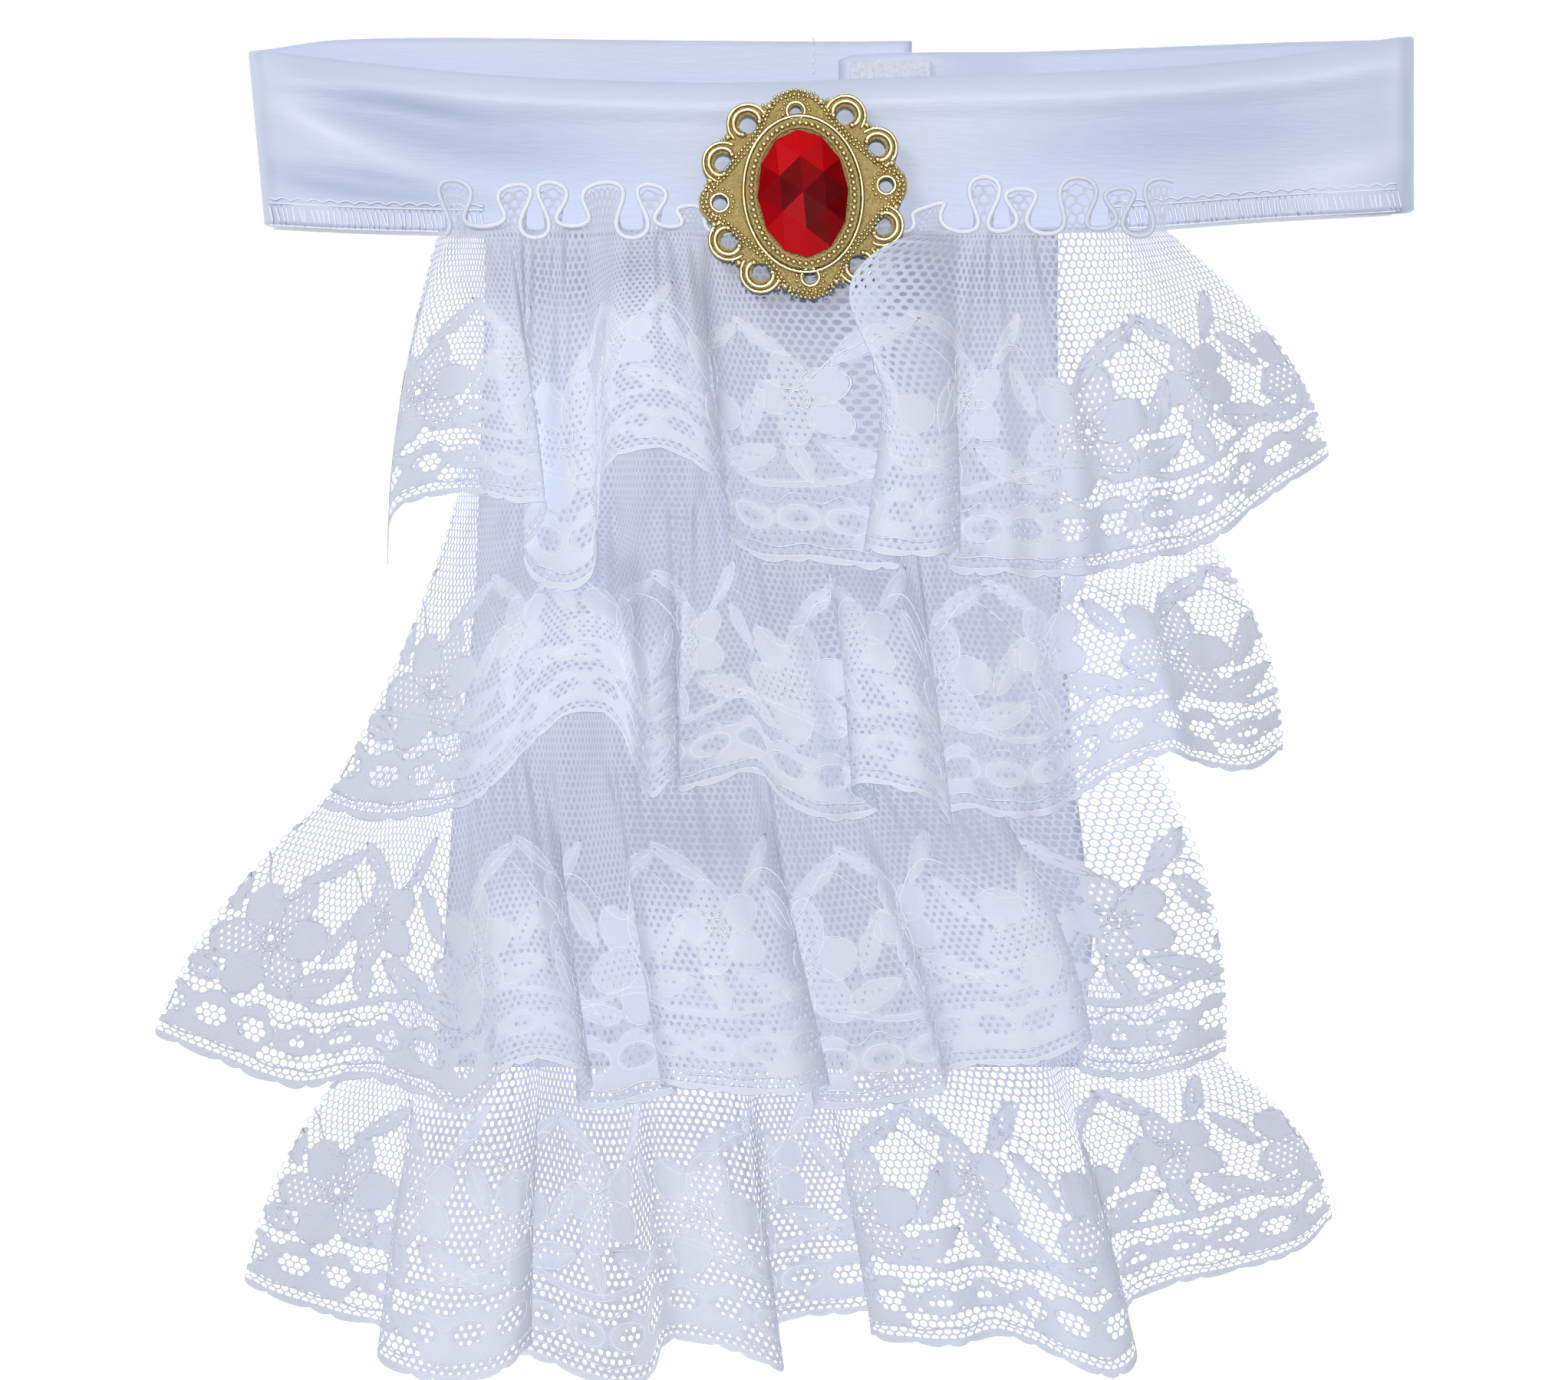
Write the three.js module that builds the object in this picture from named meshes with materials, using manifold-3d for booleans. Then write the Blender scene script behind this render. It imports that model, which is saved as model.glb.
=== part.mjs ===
// A lace jabot: a satin neckband closed at the back, a satin backing panel, four tiers of gathered lace
// sewn across it, and an oval stone in a pierced gilt brooch. It lies on its back, as it is put down on a table.
// Millimetres. +X is the wearer's left, +Y goes up the neck, +Z comes out of the surface that it lies on.

import * as THREE from 'three';
import { ConvexGeometry } from 'three/addons/geometries/ConvexGeometry.js';
import { mergeVertices } from 'three/addons/utils/BufferGeometryUtils.js';
import Module from 'manifold-3d';

const wasm = await Module();
wasm.setup();

// Walls and the gap that sewn pieces keep
const SEAM_GAP = 0.3;
const LACE_WALL = 1.0;
const BAND_WALL = 1.6;
const PANEL_WALL = 1.2;

// Where each layer lies above the surface, measured to the middle of its wall
const STRAP_Z = BAND_WALL / 2;
const STRAP_OVER_Z = STRAP_Z + BAND_WALL + SEAM_GAP;
const HOOK_THICK = 1.1;
// The strap bows up a little where it comes down off the other, so the patch has half a gap more
const HOOK_Z = STRAP_OVER_Z + BAND_WALL / 2 + SEAM_GAP * 1.5;
const FRONT_Z = HOOK_Z + HOOK_THICK + SEAM_GAP + BAND_WALL / 2;
const PANEL_TOP_Z = 5.4;
const FIRST_SEAM_Z = FRONT_Z + (BAND_WALL + LACE_WALL) / 2 + SEAM_GAP;
const LOWER_SEAM_Z = PANEL_WALL + SEAM_GAP + LACE_WALL / 2;
const LAST_SEAM_Z = LOWER_SEAM_Z + SEAM_GAP;

// The neckband is one strip. Its rows follow the strip from the end of the left strap, round the left fold,
// across the front, round the right fold, to the end of the right strap, which lies over the left one.
const BAND_ROWS = [
  { x: 25.6, z: STRAP_Z, top: 131.3, bottom: 96.8, lean: 0 },
  { x: 6.1, z: STRAP_Z, top: 131.2, bottom: 96.7, lean: 0 },
  { x: -31.4, z: STRAP_Z, top: 131.5, bottom: 97.0, lean: 0 },
  { x: -65.9, z: STRAP_Z, top: 131.9, bottom: 97.2, lean: 0 },
  { x: -88.9, z: STRAP_Z, top: 131.4, bottom: 96.4, lean: 1.6 },
  { x: -101.0, z: STRAP_Z, top: 129.7, bottom: 94.9, lean: 3.0 },
  { x: -104.2, z: (STRAP_Z + FRONT_Z) / 2, top: 129.0, bottom: 94.6, lean: 3.2 },
  { x: -101.0, z: FRONT_Z, top: 128.6, bottom: 94.4, lean: 3.0 },
  { x: -82.7, z: FRONT_Z, top: 126.4, bottom: 93.5, lean: 1.6 },
  { x: -54.4, z: FRONT_Z, top: 123.7, bottom: 92.9, lean: 0 },
  { x: -12.2, z: FRONT_Z, top: 122.3, bottom: 92.9, lean: 0 },
  { x: 31.6, z: FRONT_Z, top: 123.7, bottom: 93.1, lean: 0 },
  { x: 65.9, z: FRONT_Z, top: 124.9, bottom: 93.7, lean: 0 },
  { x: 96.1, z: FRONT_Z, top: 127.4, bottom: 95.8, lean: 0 },
  { x: 120.3, z: FRONT_Z, top: 131.2, bottom: 97.1, lean: 0 },
  { x: 123.5, z: (STRAP_Z + FRONT_Z) / 2, top: 131.8, bottom: 97.4, lean: 0 },
  { x: 120.3, z: STRAP_Z, top: 131.6, bottom: 97.2, lean: 0 },
  { x: 99.0, z: STRAP_Z, top: 131.0, bottom: 96.5, lean: 0 },
  { x: 50.0, z: STRAP_Z, top: 129.2, bottom: 94.8, lean: 0 },
  { x: 31.0, z: STRAP_OVER_Z, top: 128.8, bottom: 94.4, lean: 0 },
  { x: 13.7, z: STRAP_OVER_Z, top: 128.2, bottom: 94.0, lean: 0 },
  { x: 11.2, z: STRAP_OVER_Z, top: 127.2, bottom: 94.4, lean: 0 },
];
const HOOK_PATCH = { left: 13.4, right: 29.0, top: 127.0, bottom: 97.5 };

// The backing panel, from its seam under the band down to its hem
const PANEL_ROWS = [
  { y: 92.5, left: -58.1, right: 54.1 },
  { y: 20, left: -60.5, right: 55 },
  { y: -20, left: -64.9, right: 58.5 },
  { y: -45, left: -66.5, right: 61.3 },
  { y: -71, left: -68, right: 59.2 },
];
const PANEL_RAMP = { from: 78, to: 90 };

// Each tier is one strip of lace. seam is the height of its gathering thread. A hem row gives a place on the free
// edge: x, its drop below the seam, its z, and top, the x of its own place on the thread. A tuck is a row that goes
// back under the one before it. bow makes the strip's ends leave the seam sideways before they fall, and a fold
// stands up from the thread's height to its own between riseFrom and riseTo of the drop.
const RUFFLES = [
  { name: 'ruffle_1', seam: 93.2, seamZ: FIRST_SEAM_Z, bowLeft: 1, bowRight: 0.8,
    riseFrom: 0, riseTo: 0.5, gathers: 15.5, header: true, hem: [
      { x: -77.5, drop: 65, z: 3.5, top: -67 }, { x: -76, drop: 54.5, z: 6.5, top: -64.5 },
      { x: -69, drop: 51.5, z: 8.5, top: -62.5 }, { x: -59.5, drop: 51, z: 13.5, top: -60.5 },
      { x: -51.5, drop: 53, z: 19, top: -58 }, { x: -46, drop: 53, z: 18.5, top: -55.5 },
      { x: -47, drop: 57.5, z: 15.2, top: -52.5 }, { x: -50.5, drop: 62.5, z: 12.2, top: -49 },
      { x: -47.5, drop: 68, z: 11.8, top: -45 }, { x: -41, drop: 69.5, z: 16.8, top: -41.5 },
      { x: -36.5, drop: 66.5, z: 17.6, top: -38 }, { x: -35.5, drop: 56, z: 18.8, top: -35 },
      { x: -33, drop: 45.5, z: 21.5, top: -31.5 }, { x: -23.5, drop: 43, z: 23, top: -25.5 },
      { x: -15, drop: 47, z: 21.5, top: -21 }, { x: -11, drop: 52.5, z: 17.5, top: -17.5 },
      { x: -10, drop: 59.5, z: 12.5, top: -15.5 }, { x: -4.5, drop: 63.5, z: 10, top: -12.5 },
      { x: 6.5, drop: 64, z: 10, top: -6.5 }, { x: 17.5, drop: 65.5, z: 10, top: 7 },
      { x: 23, drop: 65, z: 9.8, top: 20 }, { x: 20, drop: 63.5, z: 14, top: 23 },
      { x: 16, drop: 62, z: 18, top: 25.5 }, { x: 18, drop: 62.5, z: 21.5, top: 28 },
      { x: 24, drop: 63.5, z: 22.5, top: 30 }, { x: 30.5, drop: 63, z: 20.5, top: 32.5 },
      { x: 34.5, drop: 62, z: 15.5, top: 34.5 }, { x: 32, drop: 65.5, z: 11, top: 37 },
      { x: 36.5, drop: 66.5, z: 10, top: 39 }, { x: 43.5, drop: 66.5, z: 12, top: 42.5 },
      { x: 49.5, drop: 67, z: 10, top: 45.5 }, { x: 58, drop: 66.5, z: 12.5, top: 49.5 },
      { x: 64.5, drop: 65.5, z: 10, top: 55 }, { x: 72, drop: 63.5, z: 11, top: 61 },
      { x: 79, drop: 62, z: 9, top: 64.5 }, { x: 85.5, drop: 59, z: 10.5, top: 67.5 },
      { x: 94.5, drop: 52, z: 7, top: 70.5 }, { x: 107.5, drop: 43.5, z: 3, top: 75 }] },
  { name: 'ruffle_2', seam: 41.8, seamZ: LOWER_SEAM_Z, bowLeft: -0.4, bowRight: 1,
    riseFrom: 0.12, riseTo: 0.62, gathers: 14, header: false, hem: [
      { x: -90, drop: 60.5, z: 6.5, top: -64 }, { x: -80, drop: 63, z: 8, top: -61 },
      { x: -69, drop: 62, z: 9.5, top: -58 }, { x: -60, drop: 59.5, z: 14, top: -55 },
      { x: -54.5, drop: 55, z: 18, top: -51 }, { x: -47.5, drop: 47.5, z: 18.5, top: -46.5 },
      { x: -40.5, drop: 42.5, z: 19.5, top: -41.5 }, { x: -34.5, drop: 42.5, z: 19.5, top: -36.5 },
      { x: -31, drop: 46, z: 19.5, top: -33 }, { x: -28.5, drop: 52.5, z: 19, top: -30.5 },
      { x: -25.5, drop: 58.5, z: 17, top: -28 }, { x: -22, drop: 56, z: 15.5, top: -25.5 },
      { x: -20, drop: 54.5, z: 12.2, top: -22.5 }, { x: -20.5, drop: 57.5, z: 8.6, top: -19 },
      { x: -13.5, drop: 56, z: 8, top: -16 }, { x: -5, drop: 54, z: 9, top: -12 },
      { x: 0.5, drop: 59.5, z: 11, top: -8 }, { x: 9, drop: 63, z: 12, top: -2 },
      { x: 16, drop: 62.5, z: 9.5, top: 1.5 }, { x: 19, drop: 61.5, z: 10.5, top: 4.5 },
      { x: 16.5, drop: 59.5, z: 14.5, top: 7 }, { x: 13.5, drop: 57, z: 18.5, top: 9.5 },
      { x: 15.5, drop: 55.5, z: 21.5, top: 12.5 }, { x: 23, drop: 57, z: 22.5, top: 16.5 },
      { x: 29, drop: 59, z: 20.5, top: 21 }, { x: 33, drop: 64.5, z: 16, top: 24 },
      { x: 31, drop: 62, z: 10.5, top: 26.5 }, { x: 36.5, drop: 61, z: 8.5, top: 29.5 },
      { x: 43.5, drop: 62.5, z: 11.5, top: 34 }, { x: 51.5, drop: 62, z: 9.5, top: 40 },
      { x: 57.5, drop: 58.5, z: 14.5, top: 45 }, { x: 64, drop: 54, z: 18, top: 50.5 },
      { x: 75, drop: 50, z: 17, top: 58.5 }, { x: 80.5, drop: 52, z: 11, top: 64.5 },
      { x: 91, drop: 53.5, z: 7, top: 71.5 }, { x: 98.5, drop: 49.5, z: 3, top: 78 }] },
  { name: 'ruffle_3', seam: -9.8, seamZ: LOWER_SEAM_Z, bowLeft: 0.6, bowRight: 1.2,
    riseFrom: 0.08, riseTo: 0.58, gathers: 14, header: false, hem: [
      { x: -123.5, drop: 54, z: 1.6, top: -80 }, { x: -109.5, drop: 59.5, z: 2.6, top: -77 },
      { x: -96, drop: 64, z: 5, top: -74 }, { x: -81, drop: 62, z: 8, top: -71 },
      { x: -69, drop: 66, z: 8, top: -68 }, { x: -62.5, drop: 69, z: 9, top: -65 },
      { x: -57, drop: 64, z: 13, top: -62 }, { x: -53.5, drop: 59.5, z: 18, top: -58 },
      { x: -46, drop: 57.5, z: 21.5, top: -53 }, { x: -39.5, drop: 59.5, z: 19.5, top: -49.5 },
      { x: -37, drop: 62.5, z: 14.5, top: -46.5 }, { x: -40, drop: 67, z: 9.5, top: -44 },
      { x: -34, drop: 68, z: 8, top: -40.5 }, { x: -26.5, drop: 66, z: 8.5, top: -37.5 },
      { x: -20.5, drop: 64.5, z: 11, top: -35.5 }, { x: -23.5, drop: 62.5, z: 16, top: -33 },
      { x: -20.5, drop: 62.5, z: 21, top: -29 }, { x: -10.5, drop: 63.5, z: 23, top: -21 },
      { x: 0.5, drop: 64, z: 22, top: -12 }, { x: 6.5, drop: 63, z: 18.5, top: -7.5 },
      { x: 9, drop: 62.5, z: 14, top: -5.5 }, { x: 6, drop: 67, z: 9, top: -3.5 },
      { x: 14, drop: 68, z: 8, top: 0 }, { x: 23, drop: 66.5, z: 9, top: 4.5 },
      { x: 31.5, drop: 64, z: 11, top: 9 }, { x: 32.5, drop: 60, z: 16, top: 12.5 },
      { x: 39.5, drop: 58.5, z: 20.5, top: 18 }, { x: 49, drop: 58, z: 21.5, top: 25.5 },
      { x: 56.5, drop: 55, z: 19.5, top: 31.5 }, { x: 60, drop: 54, z: 14.5, top: 35 },
      { x: 57.5, drop: 59.5, z: 10, top: 37.5 }, { x: 65, drop: 62, z: 8.5, top: 43 },
      { x: 75, drop: 61, z: 9.5, top: 55 }, { x: 87, drop: 57, z: 7, top: 74 }] },
  { name: 'ruffle_4', seam: -61.3, seamZ: LAST_SEAM_Z, bowLeft: 0.7, bowRight: 0.9,
    riseFrom: 0.12, riseTo: 0.62, gathers: 16, header: false, hem: [
      { x: -106, drop: 51.5, z: 0.5, top: -78 }, { x: -100.5, drop: 54, z: 1.4, top: -76 },
      { x: -88.5, drop: 58, z: 1, top: -73.5 }, { x: -77, drop: 61, z: 3, top: -70.5 },
      { x: -79, drop: 65, z: 7.5, top: -68 }, { x: -73.5, drop: 67.5, z: 12, top: -64.5 },
      { x: -63, drop: 69, z: 14.5, top: -58 }, { x: -54, drop: 66.5, z: 13.5, top: -51.5 },
      { x: -49, drop: 62, z: 9, top: -48 }, { x: -52, drop: 64.5, z: 3.5, top: -46 },
      { x: -46, drop: 67, z: 1.2, top: -44 }, { x: -40.5, drop: 69.5, z: 1, top: -41.5 },
      { x: -33, drop: 71.5, z: 2.4, top: -37 }, { x: -26, drop: 69.5, z: 6, top: -32 },
      { x: -23, drop: 62.5, z: 9, top: -29 }, { x: -19.5, drop: 61, z: 12.5, top: -26 },
      { x: -12, drop: 62, z: 15, top: -19.5 }, { x: -5.5, drop: 64.5, z: 14.5, top: -13 },
      { x: 0, drop: 67, z: 11, top: -9 }, { x: -1.5, drop: 59.5, z: 4.5, top: -7 },
      { x: 5.5, drop: 58, z: 1.4, top: -3 }, { x: 13.5, drop: 57.5, z: 1, top: 1.5 },
      { x: 20, drop: 56.5, z: 3.5, top: 5 }, { x: 17.5, drop: 60.5, z: 8, top: 7.5 },
      { x: 25.5, drop: 62, z: 11, top: 11.5 }, { x: 35, drop: 62, z: 12, top: 18 },
      { x: 42, drop: 60.5, z: 9.5, top: 22.5 }, { x: 48.5, drop: 62, z: 12, top: 28 },
      { x: 56.5, drop: 65.5, z: 15, top: 35.5 }, { x: 64.5, drop: 68, z: 13.5, top: 43.5 },
      { x: 69, drop: 65, z: 9, top: 48 }, { x: 67.5, drop: 56.5, z: 3, top: 51.5 },
      { x: 76.5, drop: 52, z: 1, top: 57 }, { x: 90, drop: 49, z: 1.4, top: 64 },
      { x: 102, drop: 45, z: 0.8, top: 70.5 }, { x: 108.5, drop: 39, z: 0.5, top: 76 }] },
];
const BODY_DOWNS = [0, 0.08, 0.18, 0.32, 0.48, 0.66, 0.84, 1];
const HEADER_DOWNS = [-1, -0.5];
const SEAM_PUFF_FADE = 3;
const GATHER_DEEP = 1.6;
const HEADER = { lift: 4.2, lean: 4.6, swing: 4.1, curl: 0.5 };
// Under the brooch the gathers are pressed flat
const PRESSED = { from: -18, to: 27, soft: 5, keep: 0.5 };

// The brooch, centred on the front of the band and turned a little. It rests on the pressed gathers.
const BROOCH = { x: 4.1, y: 99.8, turn: THREE.MathUtils.degToRad(5), plate: 2.0 };
const BROOCH_BACK_Z = FIRST_SEAM_Z + HEADER.lift * PRESSED.keep + LACE_WALL / 2 + SEAM_GAP;
// Twelve holes round the plate, each in a lobe of the rim: plain ones on the axes, looped ones between them
const LOBE = { radius: 4.1, between: 18.4, steps: 120 };
const PLATE_HOLES = [
  { angle: 90, out: 16.2, radius: 1.2 }, { angle: 123.4, out: 17.3, radius: 1.8 },
  { angle: 153.4, out: 16.7, radius: 1.8 }, { angle: 181, out: 16.3, radius: 1.5 },
  { angle: 207, out: 16.9, radius: 1.8 }, { angle: 236.6, out: 17.3, radius: 1.8 },
  { angle: 270, out: 16.2, radius: 1.3 }, { angle: 303.4, out: 17.3, radius: 1.8 },
  { angle: 333.4, out: 16.7, radius: 1.8 }, { angle: 1, out: 16.3, radius: 1.5 },
  { angle: 27, out: 16.9, radius: 1.8 }, { angle: 56.6, out: 17.3, radius: 1.8 },
];
// The stone is a rose cut: six facets meet at the point, and eighteen lie between them and the girdle
const GEM = { wide: 17.7, high: 24.9, girdle: 0.9, rise: 3.4, ring: 0.56, ringRise: 0.8, sides: 12 };
const BEZEL = { wall: 1.9, rise: 1.5 };

const satin = new THREE.MeshStandardMaterial({ color: 0xd5dcea, roughness: 0.45, metalness: 0 });
const lace = new THREE.MeshStandardMaterial({ color: 0xe2eaf2, roughness: 0.8, metalness: 0 });
const fuzz = new THREE.MeshStandardMaterial({ color: 0xf2f4f7, roughness: 0.95, metalness: 0 });
const gilt = new THREE.MeshStandardMaterial({ color: 0xd2ad4a, roughness: 0.25, metalness: 1 });
const ruby = new THREE.MeshStandardMaterial({ color: 0xa80f1a, roughness: 0.08, metalness: 0 });

// A smooth curve through the rows of a table. t runs from 0 to 1 by chord length, and each named column is a
// cubic between two rows, with slopes taken from the rows on both sides.
class RowCurve {
  constructor(rows, lengthColumns) {
    this.rows = rows;
    this.at = [0];
    for (let i = 1; i < rows.length; i++) {
      const step = Math.hypot(...lengthColumns.map((c) => rows[i][c] - rows[i - 1][c]));
      this.at.push(this.at[i - 1] + step);
    }
    this.length = this.at.at(-1);
  }

  slope(i, column) {
    const before = Math.max(i - 1, 0);
    const after = Math.min(i + 1, this.rows.length - 1);
    return (this.rows[after][column] - this.rows[before][column]) / (this.at[after] - this.at[before]);
  }

  value(t, column) {
    const s = t * this.length;
    let i = 0;
    while (i < this.rows.length - 2 && s > this.at[i + 1]) i++;
    const span = this.at[i + 1] - this.at[i];
    const k = (s - this.at[i]) / span;
    const a = this.rows[i][column];
    const b = this.rows[i + 1][column];
    const slopeA = this.slope(i, column) * span;
    const slopeB = this.slope(i + 1, column) * span;
    return a * (2 * k ** 3 - 3 * k ** 2 + 1) + slopeA * (k ** 3 - 2 * k ** 2 + k)
      + b * (3 * k ** 2 - 2 * k ** 3) + slopeB * (k ** 3 - k ** 2);
  }

  // The t of each row and of evenly spaced places between them
  stations(between) {
    const list = [];
    for (let i = 0; i < this.rows.length - 1; i++) {
      for (let k = 0; k < between; k++) {
        list.push((this.at[i] + (k / between) * (this.at[i + 1] - this.at[i])) / this.length);
      }
    }
    return [...list, 1];
  }
}

const steps = (count) => Array.from({ length: count + 1 }, (_, i) => i / count);
const smoothstep = (a, b, x) => THREE.MathUtils.smoothstep(x, a, b);

// A cloth wall: the cloth's middle is a grid of points, moved out both ways along its normals and closed at its
// four edges. Nothing goes below the surface that it lies on, so what rests there is flat.
function clothWall(alongs, downs, middle, thick) {
  const wide = alongs.length;
  const long = downs.length;
  const grid = downs.map((v) => alongs.map((u) => middle(u, v)));
  const clampAt = (list, i) => list[Math.min(Math.max(i, 0), list.length - 1)];
  const points = [];
  for (const side of [1, -1]) {
    for (let j = 0; j < long; j++) {
      for (let i = 0; i < wide; i++) {
        const along = new THREE.Vector3().subVectors(clampAt(grid[j], i + 1), clampAt(grid[j], i - 1));
        const down = new THREE.Vector3().subVectors(clampAt(grid, j + 1)[i], clampAt(grid, j - 1)[i]);
        const out = down.cross(along).normalize().multiplyScalar((side * thick) / 2);
        const p = grid[j][i].clone().add(out);
        points.push(p.x, p.y, Math.max(p.z, 0));
      }
    }
  }
  const front = (i, j) => j * wide + i;
  const back = (i, j) => wide * long + j * wide + i;
  const faces = [];
  const quad = (a, b, c, d) => faces.push(a, b, c, a, c, d);
  for (let j = 0; j < long - 1; j++) {
    for (let i = 0; i < wide - 1; i++) {
      quad(front(i, j), front(i, j + 1), front(i + 1, j + 1), front(i + 1, j));
      quad(back(i, j), back(i + 1, j), back(i + 1, j + 1), back(i, j + 1));
    }
    quad(front(0, j), back(0, j), back(0, j + 1), front(0, j + 1));
    quad(front(wide - 1, j), front(wide - 1, j + 1), back(wide - 1, j + 1), back(wide - 1, j));
  }
  for (let i = 0; i < wide - 1; i++) {
    quad(front(i, 0), front(i + 1, 0), back(i + 1, 0), back(i, 0));
    quad(front(i, long - 1), back(i, long - 1), back(i + 1, long - 1), front(i + 1, long - 1));
  }
  const geometry = new THREE.BufferGeometry();
  geometry.setAttribute('position', new THREE.Float32BufferAttribute(points, 3));
  geometry.setIndex(faces);
  return geometry;
}

// How free the cloth is of the brooch's weight: 1 away from it, PRESSED.keep under it
function free(x) {
  const inside = smoothstep(PRESSED.from - PRESSED.soft, PRESSED.from, x)
    * (1 - smoothstep(PRESSED.to, PRESSED.to + PRESSED.soft, x));
  return 1 - (1 - PRESSED.keep) * inside;
}

// The middle of a tier. u goes along the strip, v from the gathering thread (0) to the free edge (1).
// Below 0 is the heading, whose edge swings up and down the band in loops.
function ruffleMiddle(ruffle, hem) {
  const from = ruffle.hem[0].top;
  const to = ruffle.hem.at(-1).top;
  return (u, v) => {
    const seamX = hem.value(u, 'top');
    const phase = (2 * Math.PI * ruffle.gathers * (seamX - from)) / (to - from);
    const puff = GATHER_DEEP * free(seamX) * (1 - Math.cos(phase)) / 2;
    if (v < 0) {
      const up = -v * free(seamX);
      return new THREE.Vector3(
        seamX + HEADER.curl * up * Math.sin(2 * phase),
        ruffle.seam + up * (HEADER.lean - HEADER.swing * Math.cos(phase)),
        ruffle.seamZ + puff * (1 + v) + HEADER.lift * up,
      );
    }
    const bow = ruffle.bowLeft * Math.max(1 - 2 * u, 0) ** 2 + ruffle.bowRight * Math.max(2 * u - 1, 0) ** 2;
    const spread = v + bow * v * (1 - v);
    const stand = smoothstep(ruffle.riseFrom, ruffle.riseTo, v);
    return new THREE.Vector3(
      seamX + (hem.value(u, 'x') - seamX) * spread,
      ruffle.seam - hem.value(u, 'drop') * v,
      THREE.MathUtils.lerp(ruffle.seamZ, hem.value(u, 'z'), stand) + puff * (1 - v) ** SEAM_PUFF_FADE,
    );
  };
}

function ruffleGeometry(ruffle) {
  const hem = new RowCurve(ruffle.hem, ['x', 'drop', 'z']);
  const downs = ruffle.header ? [...HEADER_DOWNS, ...BODY_DOWNS] : BODY_DOWNS;
  return clothWall(hem.stations(3), downs, ruffleMiddle(ruffle, hem), LACE_WALL);
}

function neckbandGeometry() {
  const curve = new RowCurve(BAND_ROWS, ['x', 'z']);
  const middle = (t, down) => new THREE.Vector3(
    curve.value(t, 'x') + curve.value(t, 'lean') * down,
    THREE.MathUtils.lerp(curve.value(t, 'top'), curve.value(t, 'bottom'), down),
    curve.value(t, 'z'),
  );
  return clothWall(curve.stations(3), steps(4), middle, BAND_WALL);
}

// The panel lies flat, and rises at its top to meet the lower edge of the band
function panelGeometry() {
  const curve = new RowCurve(PANEL_ROWS, ['y']);
  const middle = (u, t) => {
    const y = curve.value(t, 'y');
    return new THREE.Vector3(
      THREE.MathUtils.lerp(curve.value(t, 'left'), curve.value(t, 'right'), u),
      y,
      THREE.MathUtils.lerp(PANEL_WALL / 2, PANEL_TOP_Z, smoothstep(PANEL_RAMP.from, PANEL_RAMP.to, y)),
    );
  };
  const length = PANEL_ROWS[0].y - PANEL_ROWS.at(-1).y;
  const rampDowns = steps(5).map((k) => (k * (PANEL_ROWS[0].y - PANEL_RAMP.from)) / length);
  const flatDowns = steps(8).slice(1).map((k) => THREE.MathUtils.lerp(rampDowns.at(-1), 1, k));
  return clothWall(steps(6), [...rampDowns, ...flatDowns], middle, PANEL_WALL);
}

function hookPatchGeometry() {
  const wide = HOOK_PATCH.right - HOOK_PATCH.left;
  const high = HOOK_PATCH.top - HOOK_PATCH.bottom;
  const geometry = new THREE.BoxGeometry(wide, high, HOOK_THICK);
  const centre = [(HOOK_PATCH.left + HOOK_PATCH.right) / 2, (HOOK_PATCH.top + HOOK_PATCH.bottom) / 2];
  return geometry.translate(...centre, HOOK_Z + HOOK_THICK / 2);
}

function toManifold(geometry) {
  const bare = geometry.clone();
  bare.deleteAttribute('normal');
  bare.deleteAttribute('uv');
  const merged = mergeVertices(bare, 1e-4);
  return new wasm.Manifold(new wasm.Mesh({
    numProp: 3,
    vertProperties: new Float32Array(merged.attributes.position.array),
    triVerts: new Uint32Array(merged.index.array),
  }));
}

function toGeometry(solid) {
  const mesh = solid.getMesh();
  const geometry = new THREE.BufferGeometry();
  geometry.setAttribute('position', new THREE.BufferAttribute(new Float32Array(mesh.vertProperties), 3));
  geometry.setIndex(new THREE.BufferAttribute(new Uint32Array(mesh.triVerts), 1));
  return geometry;
}

const ellipsePoint = (wide, high, angle) => [wide * Math.cos(angle), high * Math.sin(angle)];

// How far the rim reaches in a direction: to the far side of the lobe that the ray from the centre crosses
function rimReach(angle) {
  const reaches = PLATE_HOLES.map((hole) => {
    const turn = angle - THREE.MathUtils.degToRad(hole.angle);
    const aside = hole.out * Math.sin(turn);
    if (Math.cos(turn) < 0 || Math.abs(aside) > LOBE.radius) return 0;
    return hole.out * Math.cos(turn) + Math.sqrt(LOBE.radius ** 2 - aside ** 2);
  });
  return Math.max(LOBE.between, ...reaches);
}

// The pierced plate
function rimShape() {
  const points = steps(LOBE.steps).slice(0, -1).map((k) => {
    const angle = 2 * Math.PI * k;
    return new THREE.Vector2(rimReach(angle) * Math.cos(angle), rimReach(angle) * Math.sin(angle));
  });
  const shape = new THREE.Shape(points);
  for (const hole of PLATE_HOLES) {
    const angle = THREE.MathUtils.degToRad(hole.angle);
    const path = new THREE.Path();
    path.absarc(hole.out * Math.cos(angle), hole.out * Math.sin(angle), hole.radius, 0, 2 * Math.PI, true);
    shape.holes.push(path);
  }
  return shape;
}

// The oval collar that holds the stone
function bezelGeometry() {
  const inner = { wide: GEM.wide / 2 + SEAM_GAP, high: GEM.high / 2 + SEAM_GAP };
  const outline = (grow) => steps(40).slice(0, -1).map((k) => new THREE.Vector2(
    ...ellipsePoint(inner.wide + grow, inner.high + grow, 2 * Math.PI * k),
  ));
  const shape = new THREE.Shape(outline(BEZEL.wall));
  shape.holes.push(new THREE.Path(outline(0).reverse()));
  return new THREE.ExtrudeGeometry(shape, { depth: BEZEL.rise + BROOCH.plate / 2, bevelEnabled: false });
}

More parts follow.
